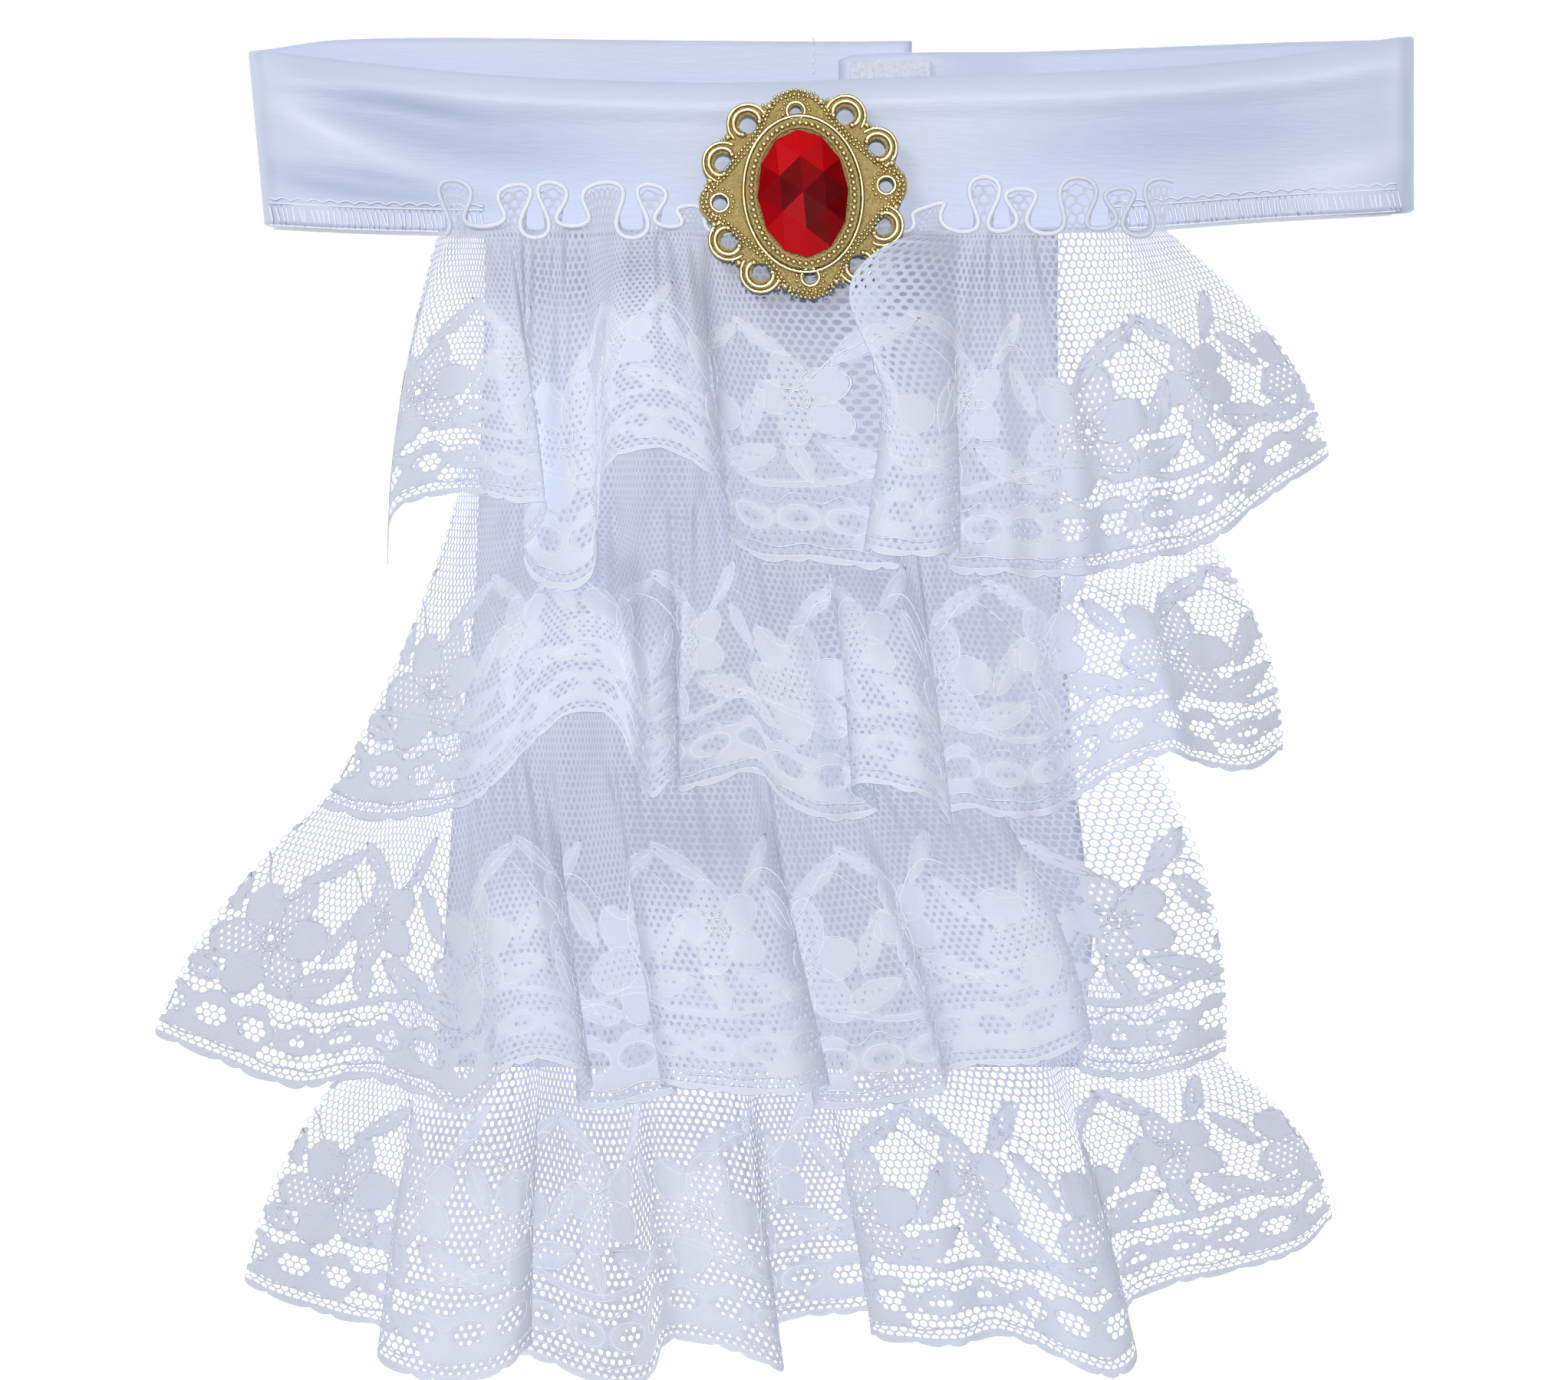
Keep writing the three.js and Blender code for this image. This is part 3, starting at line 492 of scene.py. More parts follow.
# %% [markdown]
# The lace repeats every few centimetres, as on a lace machine. Its pattern is a function of flat strip
# coordinates: x along the strip, y up from the free edge. It says how big the hole of each net cell is.
# Motifs are distances to simple shapes, and a cell closes as it comes inside one. This repeat was drawn for
# this lesson: a six-petalled flower, a small five-petalled one, leaves on a wandering stem, and oval windows
# over the hem. A flower's eye, every other petal and one half of each leaf are stippled with small holes.

# %% The motifs of one repeat
REPEAT = 57.0
FLOWERS = [
    dict(x=15, y=27, petals=6, reach=7.4, long=6.3, wide=4.3, turn=0.2, eye=2.6),
    dict(x=43, y=33, petals=5, reach=5.3, long=4.8, wide=3.5, turn=0.6, eye=1.9),
]
LEAVES = [
    dict(x=29.5, y=20.5, long=7.5, wide=2.6, turn=0.3), dict(x=32, y=30, long=6.4, wide=2.2, turn=1.0),
    dict(x=52, y=21, long=7.8, wide=2.6, turn=2.7), dict(x=0.5, y=36, long=6.4, wide=2.1, turn=2.1),
    dict(x=23, y=44, long=9.4, wide=1.9, turn=0.5), dict(x=36, y=46, long=8.0, wide=1.7, turn=2.6),
    dict(x=54, y=46, long=7.4, wide=1.7, turn=0.9), dict(x=40.5, y=20.5, long=5.4, wide=2.2, turn=1.9),
    dict(x=3, y=17.5, long=6.0, wide=2.0, turn=2.9),
]
STEM = dict(y=18.0, swing=3.0, wide=0.6)
TENDRIL = dict(y=40.0, swing=5.0)
WINDOW_COUNT = 6
WINDOWS = dict(y=8.2, pitch=REPEAT / WINDOW_COUNT, long=3.6, wide=2.2, ring=0.8, top=12.4, wave=1.1, low=2.6)
STIPPLE_IN = 1.1
EYE_GROUND = 1.6
FAR = 9.0


def wrapped(x, centre):
    return (x - centre + REPEAT / 2) % REPEAT - REPEAT / 2


def turned(dx, dy, angle):
    return dx * np.cos(angle) + dy * np.sin(angle), dy * np.cos(angle) - dx * np.sin(angle)


def petal_places(flower):
    """The middle of each petal, and the angle it points at."""
    reach = flower["reach"]
    for k in range(flower["petals"]):
        angle = flower["turn"] + 2 * np.pi * k / flower["petals"]
        yield flower["x"] + reach * np.cos(angle), flower["y"] + reach * np.sin(angle), angle


def ellipse_gap(dx, dy, long, wide):
    """About how far a point is outside an ellipse, negative inside."""
    return (np.hypot(dx / long, dy / wide) - 1) * min(long, wide)


def leaf_gap(dx, dy, long, wide):
    """About how far a point is outside a pointed leaf, whose half width is a parabola."""
    return np.maximum(np.abs(dy) - wide * (1 - (dx / long) ** 2), np.abs(dx) - long) * 0.9


def stem_height(x):
    return STEM["y"] + STEM["swing"] * np.sin(2 * np.pi * x / REPEAT + 0.6)


def tendril_height(x):
    return TENDRIL["y"] + TENDRIL["swing"] * np.sin(4 * np.pi * x / REPEAT + 2.0)


def window_top(x):
    return WINDOWS["top"] + WINDOWS["wave"] * np.cos(2 * np.pi * x / WINDOWS["pitch"])


def window_gap(x, y):
    """The windows: openings in a solid border along one half of the repeat, rings along the other."""
    dx = (x + WINDOWS["pitch"] / 2) % WINDOWS["pitch"] - WINDOWS["pitch"] / 2
    window = ellipse_gap(dx, y - WINDOWS["y"], WINDOWS["long"], WINDOWS["wide"])
    border = np.maximum(-window, y - window_top(x))
    ring = np.abs(window) - WINDOWS["ring"]
    solid_half = np.sin(2 * np.pi * x / REPEAT + 0.9) > -0.1
    return np.maximum(np.where(solid_half, border, ring), WINDOWS["low"] - y)


def motif_gap(x, y):
    """Distance to the nearest solid motif, and distance to the nearest stippled ground inside one."""
    gap = np.full_like(x, FAR)
    stippled = np.full_like(x, FAR)
    for flower in FLOWERS:
        for k, (px, py, angle) in enumerate(petal_places(flower)):
            petal = ellipse_gap(*turned(wrapped(x, px), y - py, angle), flower["long"], flower["wide"])
            gap = np.minimum(gap, petal)
            if k % 2:
                stippled = np.minimum(stippled, petal + STIPPLE_IN)
        eye = np.hypot(wrapped(x, flower["x"]), y - flower["y"]) - flower["eye"] * EYE_GROUND
        stippled = np.minimum(stippled, eye)
    for leaf in LEAVES:
        dx, dy = turned(wrapped(x, leaf["x"]), y - leaf["y"], leaf["turn"])
        blade = leaf_gap(dx, dy, leaf["long"], leaf["wide"])
        gap = np.minimum(gap, blade)
        stippled = np.minimum(stippled, np.where(dy > 0, blade + STIPPLE_IN, FAR))
    stem = np.abs(y - stem_height(x)) * 0.85 - STEM["wide"]
    return np.minimum(np.minimum(gap, stem), window_gap(x, y)), stippled


print("motifs in one repeat:", len(FLOWERS), "flowers,", len(LEAVES), "leaves,", WINDOW_COUNT, "windows")

# %% [markdown]
# The net is closer where cloth lies behind cloth, because two layers show less between their threads. One
# share says whether a point is over the panel, or, below the panel, where the fourth tier's folds lie double
# left of its middle. Another says how far the point is up the crest of a fold.

# %% How open each cell is
NET_HOLE = 0.78
DOT_HOLE = 0.38
LADDER = (0.5, 2.2)
LADDER_HOLE = 0.74
LEAST_HOLE = 0.16
MOTIF_EDGE = (-0.35, 0.55)
STIPPLE_EDGE = (-0.2, 0.6)
CLOSER = 0.32
PANEL_CLOSER = 0.55
CREST_CLOSER = 0.45
DOUBLED_CLOSER = 0.45
PANEL_REACH = dict(left=(-66, -54), right=(48, 60))
PANEL_LOW = (-84, -70)
DOUBLED_REACH = dict(left=(-78, -66), right=(4, 20))
CREST = (6, 20)


def layered(points):
    """Two shares at each point: whether cloth lies behind it, and how far it is up a fold's crest."""
    x, y, z = np.moveaxis(points, -1, 0)
    high = smoothstep(*PANEL_LOW, y)
    over_panel, doubled = [smoothstep(*reach["left"], x) * (1 - smoothstep(*reach["right"], x))
                           for reach in (PANEL_REACH, DOUBLED_REACH)]
    return high * over_panel + (1 - high) * doubled, smoothstep(*CREST, z)


def denser(spots):
    """How much closer the net is made at each spot, from 0 to about 1."""
    inside, crest = layered(spots)
    below_panel = 1 - smoothstep(*PANEL_LOW, spots[:, 1])
    return PANEL_CLOSER * inside + CREST_CLOSER * crest + DOUBLED_CLOSER * inside * below_panel


def hole_size(x, y, solid_above, dense):
    """How open each net cell is: 0 closed, NET_HOLE plain net, and a row of large holes above the hem."""
    gap, stippled = motif_gap(x, y)
    open_net = NET_HOLE * (1 - CLOSER * dense) * smoothstep(*MOTIF_EDGE, gap)
    dotted = DOT_HOLE * (1 - smoothstep(*STIPPLE_EDGE, stippled))
    ladder = (y > LADDER[0]) & (y < LADDER[1])
    size = np.where(ladder, LADDER_HOLE * (1 - CLOSER * dense), np.maximum(open_net, dotted))
    return np.where((size < LEAST_HOLE) | (y > solid_above), 0, size)


samples = hole_size(np.full(3, LEAVES[0]["x"]), np.array([1.0, LEAVES[0]["y"], 60.0]), STRIP_HIGH, 0)
print("holes in the ladder row, a leaf and plain net:", samples)

# %% [markdown]
# The net is a honeycomb. Neighbouring cells share their corners, which sit on the crown of the thread. Each
# open cell has six corners of its own around the hole, set a little lower, so the thread is round and not a
# flat strip. Where the cloth is gathered its cells are squeezed sideways but its threads aren't, so a hole is
# narrower there. Closed cells are single six-sided faces. A cell's corners are whole numbers on a half-step
# grid, so equal ones are found by sorting, with no search.

# %% The net of a strip
NET_PITCH = 1.72
NET_ROW = 1.47
NET_FIRST = 0.7
THREAD_RISE = 0.11
MOTIF_WEIGHT = 0.3
WEIGHT_EDGE = (0.4, -0.2)
GATHER_STEP = np.array([0.6, 0])
GATHER_LEAST = 0.45
GATHER_TIGHTEST = 0.2
HEX_X = np.array([0, -1, -1, 0, 1, 1])
HEX_Y = np.array([2, 1, -1, -2, -1, 1])
ROW_KEY = 100000


def net_cells(columns, rows):
    """Whole-number places of the cells: odd rows are shifted by half a cell and are one cell shorter."""
    j, i = np.meshgrid(np.arange(rows), np.arange(columns), indexing="ij")
    i, j = i.ravel(), j.ravel()
    keep = ~((j % 2 == 1) & (i == columns - 1))
    i, j = i[keep], j[keep]
    return 2 * i + 1 + j % 2, 3 * j


def flat_net(strip_long, strip_high, place):
    """Flat honeycomb in strip millimetres: its points, their lift and weight, its faces and its area."""
    columns = round(strip_long / NET_PITCH)
    pitch = strip_long / columns

    def spots(grid_x, grid_y):
        return np.stack([grid_x * pitch / 2, NET_FIRST + grid_y * NET_ROW / 3], axis=1)

    grid_x, grid_y = net_cells(columns, int((strip_high - NET_FIRST) / NET_ROW))
    centres = spots(grid_x, grid_y)
    size = hole_size(*centres.T, strip_high - HEADING["band"], denser(place(centres)))
    ahead = np.linalg.norm(place(centres + GATHER_STEP) - place(centres - GATHER_STEP), axis=1)
    gathered = np.clip(ahead / (2 * GATHER_STEP[0]), GATHER_TIGHTEST, 1)
    across = np.maximum(1 - (1 - size) / gathered, GATHER_LEAST * size)

    corner_x = grid_x[:, None] + HEX_X
    corner_y = grid_y[:, None] + HEX_Y + 2
    key, shared = np.unique(corner_y * ROW_KEY + corner_x, return_inverse=True)
    shared = shared.reshape(-1, 6)
    outer = spots(key % ROW_KEY, key // ROW_KEY - 2)
    hole = size > 0
    centre = centres[hole][:, None]
    inner = centre + (outer[shared[hole]] - centre) * np.stack([across, size], axis=1)[hole][:, None]
    inner_ids = len(outer) + np.arange(6 * hole.sum()).reshape(-1, 6)
    ring = [np.stack([shared[hole][:, k], shared[hole][:, (k + 1) % 6], inner_ids[:, (k + 1) % 6],
                      inner_ids[:, k]], axis=1) for k in range(6)]
    points = np.concatenate([outer, inner.reshape(-1, 2)])
    lift = np.concatenate([np.full(len(outer), THREAD_RISE), np.zeros(6 * hole.sum())])
    weight = MOTIF_WEIGHT * smoothstep(*WEIGHT_EDGE, motif_gap(*points.T)[0])
    area = pitch * NET_ROW * (len(centres) - (size * across).sum())
    return points, lift, weight, [np.concatenate(ring), shared[~hole]], area


print("rows of cells below the gathering thread:", int((STRIP_HIGH - NET_FIRST) / NET_ROW))

# %% [markdown]
# Thick outline thread, called cordonnet, edges every motif. Each outline is a path on the flat strip, and a
# thin three-sided tube follows it over the surface: two corners lie on the lace and the third stands up from
# it. The free heading of the first tier has a round cord along its edge.

# %% Outline threads
CORDONNET = dict(petal=0.2, eye=0.24, leaf=0.18, vein=0.13, window=0.2, stem=0.16, tendril=0.25, top=0.2,
                 ladder=0.24, hem=0.2)
CORD_SIDE = 0.05
CORD_CROWN = 0.2
SCALLOP = dict(pitch=6.4, deep=1.0, shift=1.5, shift_every=2.6)
PATH_STEP = 1.1
SCALLOP_STEP = 0.55
EDGE_SIDES = 6


def placed(dx, dy, x, y, turn):
    """Offsets turned by an angle and moved to a place."""
    cos, sin = np.cos(turn), np.sin(turn)
    return np.stack([x + dx * cos - dy * sin, y + dx * sin + dy * cos], axis=1)


def closed_ellipse(x, y, long, wide, turn, count):
    a = np.linspace(0, 2 * np.pi, count + 1)
    return placed(long * np.cos(a), wide * np.sin(a), x, y, turn)


def closed_leaf(x, y, long, wide, turn, count):
    s = np.concatenate([np.linspace(-1, 1, count // 2), np.linspace(1, -1, count // 2)])
    side = np.repeat([1, -1], count // 2)
    return placed(long * s, side * wide * (1 - s**2), x, y, turn)


def repeat_outlines():
    """The outline paths of one repeat, each with its thread's half width."""
    for flower in FLOWERS:
        for px, py, angle in petal_places(flower):
            yield closed_ellipse(px, py, flower["long"], flower["wide"], angle, 20), CORDONNET["petal"]
        eye = closed_ellipse(flower["x"], flower["y"], flower["eye"], flower["eye"], 0, 12)
        yield eye, CORDONNET["eye"]
    for leaf in LEAVES:
        at = leaf["x"], leaf["y"]
        yield closed_leaf(*at, leaf["long"], leaf["wide"], leaf["turn"], 18), CORDONNET["leaf"]
        yield placed(np.linspace(-0.8, 0.9, 7) * leaf["long"], 0, *at, leaf["turn"]), CORDONNET["vein"]
    long, wide = WINDOWS["long"] + 0.5, WINDOWS["wide"] + 0.5
    for k in range(WINDOW_COUNT):
        yield closed_ellipse(k * WINDOWS["pitch"], WINDOWS["y"], long, wide, 0, 18), CORDONNET["window"]


def scallop(x):
    """The free edge: a row of shallow round scallops of uneven width with sharp notches between them."""
    uneven = x + SCALLOP["shift"] * np.sin(2 * np.pi * x / (SCALLOP["shift_every"] * SCALLOP["pitch"]))
    return -SCALLOP["deep"] * np.sqrt(np.abs(np.sin(np.pi * uneven / SCALLOP["pitch"])) + 0.02)


def long_outlines(strip_long):
    """The outlines that run on from end to end of a strip."""
    x = np.linspace(0, strip_long, int(strip_long / PATH_STEP))
    yield np.stack([x, stem_height(x) + STEM["wide"]], axis=1), CORDONNET["stem"]
    yield np.stack([x, stem_height(x) - STEM["wide"]], axis=1), CORDONNET["stem"]
    yield np.stack([x, tendril_height(x)], axis=1), CORDONNET["tendril"]
    yield np.stack([x, window_top(x)], axis=1), CORDONNET["top"]
    wavy = LADDER[1] + 0.3 + 0.3 * np.cos(2 * np.pi * x / WINDOWS["pitch"])
    yield np.stack([x, wavy], axis=1), CORDONNET["ladder"]
    yield np.stack([x, np.full_like(x, LADDER[0] - 0.1)], axis=1), CORDONNET["hem"]
    x = np.linspace(0, strip_long, int(strip_long / SCALLOP_STEP))
    yield np.stack([x, scallop(x)], axis=1), CORDONNET["hem"]


def strip_outlines(strip_long):
    """All outlines of a strip, with the repeat's own cut off at its ends."""
    yield from long_outlines(strip_long)
    for outline, half_wide in repeat_outlines():
        for k in range(-1, int(strip_long / REPEAT) + 1):
            moved = outline + np.array([k * REPEAT, 0])
            inside = (moved[:, 0] > 0) & (moved[:, 0] < strip_long)
            if inside.sum() > 3:
                yield moved[inside], half_wide


def tube(path, half_wide, to_uv, surface):
    """A three-sided tube along a flat path, laid on the surface."""
    ahead = np.gradient(path, axis=0)
    ahead /= np.linalg.norm(ahead, axis=1, keepdims=True) + 1e-9
    aside = np.stack([-ahead[:, 1], ahead[:, 0]], axis=1) * half_wide
    corners = [lifted(surface, *to_uv(path + shift * aside), high)
               for shift, high in ((1, CORD_SIDE), (0, CORD_CROWN), (-1, CORD_SIDE))]
    a = 3 * np.arange(len(path) - 1)
    faces = [np.stack([a + k, a + 3 + k, a + 3 + (k + 1) % 3, a + (k + 1) % 3], axis=1) for k in range(3)]
    return np.stack(corners, axis=1).reshape(-1, 3), np.concatenate(faces)


def edge_cord(path):
    """A round cord along a path in space: a circle across the path, half of it sideways and half upwards."""
    ahead = np.gradient(path, axis=0)
    aside = np.stack([-ahead[:, 1], ahead[:, 0], 0 * ahead[:, 0]], axis=1)
    aside /= np.linalg.norm(aside, axis=1, keepdims=True) + 1e-9
    angle = np.linspace(0, 2 * np.pi, EDGE_SIDES, endpoint=False)[:, None, None]
    points = path + HEADING["edge"] * (np.cos(angle) * aside + np.sin(angle) * np.array([0, 0, 1]))
    return points.reshape(-1, 3), tube_faces(EDGE_SIDES, len(path))


print("outlines in one repeat:", len(list(repeat_outlines())))

# %% [markdown]
# Each tier is one mesh: the net, its outlines, the heading's cord, and the solid scalloped edge. Thread tones
# are painted by place. In the open wings the lace is seen against the white table, over the panel it is
# painted deeper as shade, and on the crests of folds it is painted brightest as a highlight. The nylon is so
# thin that light passes through it, so the lace casts no shadow: a net that did would be darker between its
# threads than the real one is.

# %% A whole tier
OUTLINE_WEIGHT = 0.9
CORD_WEIGHT = 1.0
CORD_OPEN = 0.2
CORD_STEP = 0.4
WING_TONE = 0.33
INSIDE_SHADE_TONE = 0.2
CREST_HIGHLIGHT_TONE = 0.72
EDGE_RISE = THREAD_RISE + 0.04


def lace_tier(name, tier):
    surface, strip_long = ruffle_surface(tier)

    def to_uv(flat):
        over = flat[:, 1] - STRIP_HIGH
        v = np.where(over > 0, -over / tier["heading"], 1 - flat[:, 1] / STRIP_HIGH)
        return flat[:, 0] / strip_long, v

    def place(flat):
        return surface(*to_uv(flat))

    lace = Collector()
    flat, lift, weight, net_faces, area = flat_net(strip_long, STRIP_HIGH + tier["heading"], place)
    lace.add(lifted(surface, *to_uv(flat), lift), weight, *net_faces)
    for path, half_wide in strip_outlines(strip_long):
        points, faces = tube(path, half_wide, to_uv, surface)
        lace.add(points, OUTLINE_WEIGHT, faces)
    if tier["throat"]:
        points, faces = edge_cord(surface(np.linspace(0, 1, int(strip_long / CORD_STEP)), -1))
        lace.add(points, CORD_WEIGHT, faces)
    x = np.linspace(0, strip_long, int(strip_long / SCALLOP_STEP))
    low = scallop(x)
    edge = np.concatenate([np.stack([x, low + k * (LADDER[0] - low)], axis=1) for k in (1, 0.5, 0)])
    lace.add(lifted(surface, *to_uv(edge), EDGE_RISE), MOTIF_WEIGHT, grid_faces(len(x), 3))
    area += strip_long * np.mean(LADDER[0] - low)

    points = np.concatenate(lace.points)
    # Painted shade over the panel and painted highlights on the crests of folds.
    inside, crest = layered(points)
    piece = new_piece(name + "_lace", points, lace.faces, thread_material,
                      weight=np.concatenate(lace.weights) * (CORD_OPEN + (1 - CORD_OPEN) * inside),
                      backed=WING_TONE * (1 - inside) + INSIDE_SHADE_TONE * inside + CREST_HIGHLIGHT_TONE * crest)
    piece.visible_shadow = False
    high = STRIP_HIGH + tier["heading"] + SCALLOP["deep"]
    high * MM
    min(area, high * strip_long) * MM**2
    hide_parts(name)
    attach(piece, "root")
    print(name, "strip", round(strip_long), "mm, cloth share", round(area / (high * strip_long), 2),
          "triangles", triangles(piece))


for name, tier in TIERS.items():
    lace_tier(name, tier)

# %% [markdown]
# The neckband is a strip of satin, doubled and turned at its top edge, so its section is a flat loop with a
# round top. The section is carried along a path that lies as the band lies: back, round the left fold, across
# the front, and back again. A row of the path is its x, its height, the y of the band's top and bottom edge,
# and how far the section leans.

# %% The neckband's path and section
STRAP_Z = 0.8
STRAP_OVER_Z = 2.7
FRONT_Z = 6.15
FOLD_Z = (STRAP_Z + FRONT_Z) / 2
BAND_ROWS = [
    (25.6, STRAP_Z, 131.3, 96.8, 0), (6.1, STRAP_Z, 131.2, 96.7, 0), (-31.4, STRAP_Z, 131.5, 97.0, 0),
    (-65.9, STRAP_Z, 131.9, 97.2, 0), (-88.9, STRAP_Z, 131.4, 96.4, 1.6),
    (-101.0, STRAP_Z, 129.7, 94.9, 3.0), (-104.2, FOLD_Z, 129.0, 94.6, 3.2),
    (-101.0, FRONT_Z, 128.6, 94.4, 3.0), (-82.7, FRONT_Z, 126.4, 93.5, 1.6),
    (-54.4, FRONT_Z, 123.7, 92.9, 0), (-12.2, FRONT_Z, 122.3, 92.9, 0), (31.6, FRONT_Z, 123.7, 93.1, 0),
    (65.9, FRONT_Z, 124.9, 93.7, 0), (96.1, FRONT_Z, 127.4, 95.8, 0), (120.3, FRONT_Z, 131.2, 97.1, 0),
    (123.5, FOLD_Z, 131.8, 97.4, 0), (120.3, STRAP_Z, 131.6, 97.2, 0), (99.0, STRAP_Z, 131.0, 96.5, 0),
    (50.0, STRAP_Z, 129.2, 94.8, 0), (31.0, STRAP_OVER_Z, 128.8, 94.4, 0),
    (13.7, STRAP_OVER_Z, 128.2, 94.0, 0), (11.2, STRAP_OVER_Z, 127.2, 94.4, 0),
]
BAND_HALF = 0.75
BAND_HIGH = 34.5
OUTER_ROWS = 40
INNER_ROWS = 10


def band_section():
    """The section: share of the height from the top, and side (+1 out, -1 in). The top is a half circle."""
    arc = np.linspace(-np.pi / 2, np.pi / 2, 7)
    round_top = np.stack([(1 - np.cos(arc)) * BAND_HALF / BAND_HIGH, np.sin(arc)], axis=1)
    outer_down = np.stack([np.linspace(0.04, 0.995, OUTER_ROWS), np.ones(OUTER_ROWS)], axis=1)
    hem = np.array([[1.0, 0.5], [1.0, -0.5]])
    inner_up = np.stack([np.linspace(0.995, 0.04, INNER_ROWS), -np.ones(INNER_ROWS)], axis=1)
    return np.concatenate([round_top, outer_down, hem, inner_up])


band_path = RowCurve(BAND_ROWS, (0, 1))
fold_rows = [k for k, row in enumerate(BAND_ROWS) if row[1] == FOLD_Z]
near_folds = [np.linspace(band_path.at[k - 1], band_path.at[k + 1], 24) / band_path.length for k in fold_rows]
along = np.unique(np.concatenate([np.linspace(0, 1, 260), band_path.at / band_path.length] + near_folds))
path_x, path_z, path_top, path_bottom, path_lean = np.moveaxis(band_path(along), -1, 0)
turn_x, turn_z = np.gradient(path_x, along), np.gradient(path_z, along)
print("neckband", round(band_path.length), "mm long, with", len(along), "sections")

# %% [markdown]
# Pressed satin still rolls softly under its top edge and has low ridges and hollows on its front. They are
# about a third of a millimetre high, and each is also painted into the tone of the cloth: a painted sheen on
# the ridges and the roll, and painted shade in the hollows. One face of the straps behind is painted lighter.

# %% The neckband
# Soft ridges (+) and hollows (-) of the front: x, y, half length, half width, turn in degrees, rise
SOFT_FOLDS = [
    (-90, 113.5, 15, 2.6, -25, 1.1), (-76, 117, 22, 4.2, -17, -1.4), (-53, 111.8, 26, 6.5, -5, -0.7),
    (-82.7, 102.5, 22, 2.8, -8, -1.3), (-100, 106, 4, 9, 0, 0.35), (31.6, 110.5, 15, 8, 0, 0.35),
    (80.3, 113.5, 32, 6.5, 6, -0.9), (112.6, 106, 15, 3.6, 15, 0.8), (120.8, 118.7, 2, 9, 0, 0.6),
    (-22, 108, 12, 7, 0, 0.15),
]
# The top roll's tone is a painted highlight along it, and it also lifts the cloth there.
SOFT_ROLL = dict(down=0.15, wide=0.1, rise=0.6, tone=0.75)
SOFT_DEEP = 0.35
SOFT_SHEEN_AND_SHADE = 0.38
BAND_TONE = 0.34
STRAP_LIGHT_TONE = 0.22
FRONT_FROM = 1.6
BAND_CLEAR = 0.02

down, side = band_section().T[..., None]
step = np.hypot(turn_x, turn_z)
band_x = path_x + path_lean * down - turn_z / step * side * BAND_HALF
band_y = path_top + (path_bottom - path_top) * down
front = smoothstep(FRONT_Z - FRONT_FROM, FRONT_Z, path_z) * (side > 0)
rolled = np.exp(-((down - SOFT_ROLL["down"]) / SOFT_ROLL["wide"]) ** 2)
soft = SOFT_ROLL["tone"] * rolled
for fold_x, fold_y, long, across, turn, rise in SOFT_FOLDS:
    dx, dy = turned(band_x - fold_x, band_y - fold_y, np.radians(turn))
    soft = soft + rise * np.exp(-(dx / long) ** 2 - (dy / across) ** 2)
soft = soft * front
roll = front * SOFT_ROLL["rise"] * rolled
band_z = path_z + turn_x / step * side * BAND_HALF + roll + SOFT_DEEP * soft * smoothstep(1, 0.7, down)
band_points = np.stack([band_x, band_y, np.maximum(band_z, BAND_CLEAR)], axis=-1).reshape(-1, 3)
# Painted sheen and shade: ridges and the roll lighter, hollows darker, one face of the straps lighter.
band_sheen_and_shade = (BAND_TONE + SOFT_SHEEN_AND_SHADE * soft + STRAP_LIGHT_TONE * (1 - front) * (side > 0)).ravel()
rows = np.arange(len(down)) * len(along)
band_faces = [tube_faces(len(down), len(along)), rows[None, ::-1], rows[None] + len(along) - 1]
neckband = new_piece("neckband_satin", band_points, band_faces, satin_material, weight=band_sheen_and_shade)
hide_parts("neckband")
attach(neckband, "root")
print("neckband triangles", triangles(neckband))

# %% [markdown]
# The backing panel carries the tiers. It is one layer of the same satin, flat on the table, and it rises at
# its top to its seam under the band. A row of its outline is y and the x of its left and right edge. A
# solidify modifier gives the thin sheet its thickness.

# %% The backing panel
PANEL_ROWS = [(92.5, -58.1, 54.1), (20, -60.5, 55), (-20, -64.9, 58.5), (-45, -66.5, 61.3), (-71, -68, 59.2)]
PANEL_Z = 0.6
PANEL_TOP_Z = 5.4
PANEL_RISE = (78, 90)
PANEL_THICK = 1.0
PANEL_WIDE_POINTS = 60
PANEL_LONG_POINTS = 90

edge_y, edge_left, edge_right = np.array(PANEL_ROWS)[::-1].T
panel_y = np.linspace(edge_y[-1], edge_y[0], PANEL_LONG_POINTS)[:, None]
left = np.interp(panel_y, edge_y, edge_left)
right = np.interp(panel_y, edge_y, edge_right)
panel_x = left + (right - left) * np.linspace(0, 1, PANEL_WIDE_POINTS)
panel_z = PANEL_Z + (PANEL_TOP_Z - PANEL_Z) * smoothstep(*PANEL_RISE, panel_y)
panel_points = np.stack(np.broadcast_arrays(panel_x, panel_y, panel_z), axis=-1).reshape(-1, 3)
panel_faces = grid_faces(PANEL_WIDE_POINTS, PANEL_LONG_POINTS)
panel = new_piece("backing_panel_satin", panel_points, [panel_faces], lining_material)
thick = panel.modifiers.new("thickness", "SOLIDIFY")
thick.thickness = PANEL_THICK * MM
thick.offset = 0
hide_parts("backing_panel")
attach(panel, "root")
print("backing panel triangles", triangles(panel))

# %% [markdown]
# Sewing thread and cast metal need the same two small forms, a round wire along a flat path and a bead. One
# collector makes both and puts them into a single mesh. The weight of its points is 0 at the foot of a form
# and 1 on its crown, so gilt can be painted dark in the corners where its wires meet the plate, a painted
# shade, and thread painted lighter on its crown.

# %% A collector for small forms
BEAD_SIDES = 8
BEAD_ROWS = 4
WIRE_SIDES = 8
MERGE = 0.002


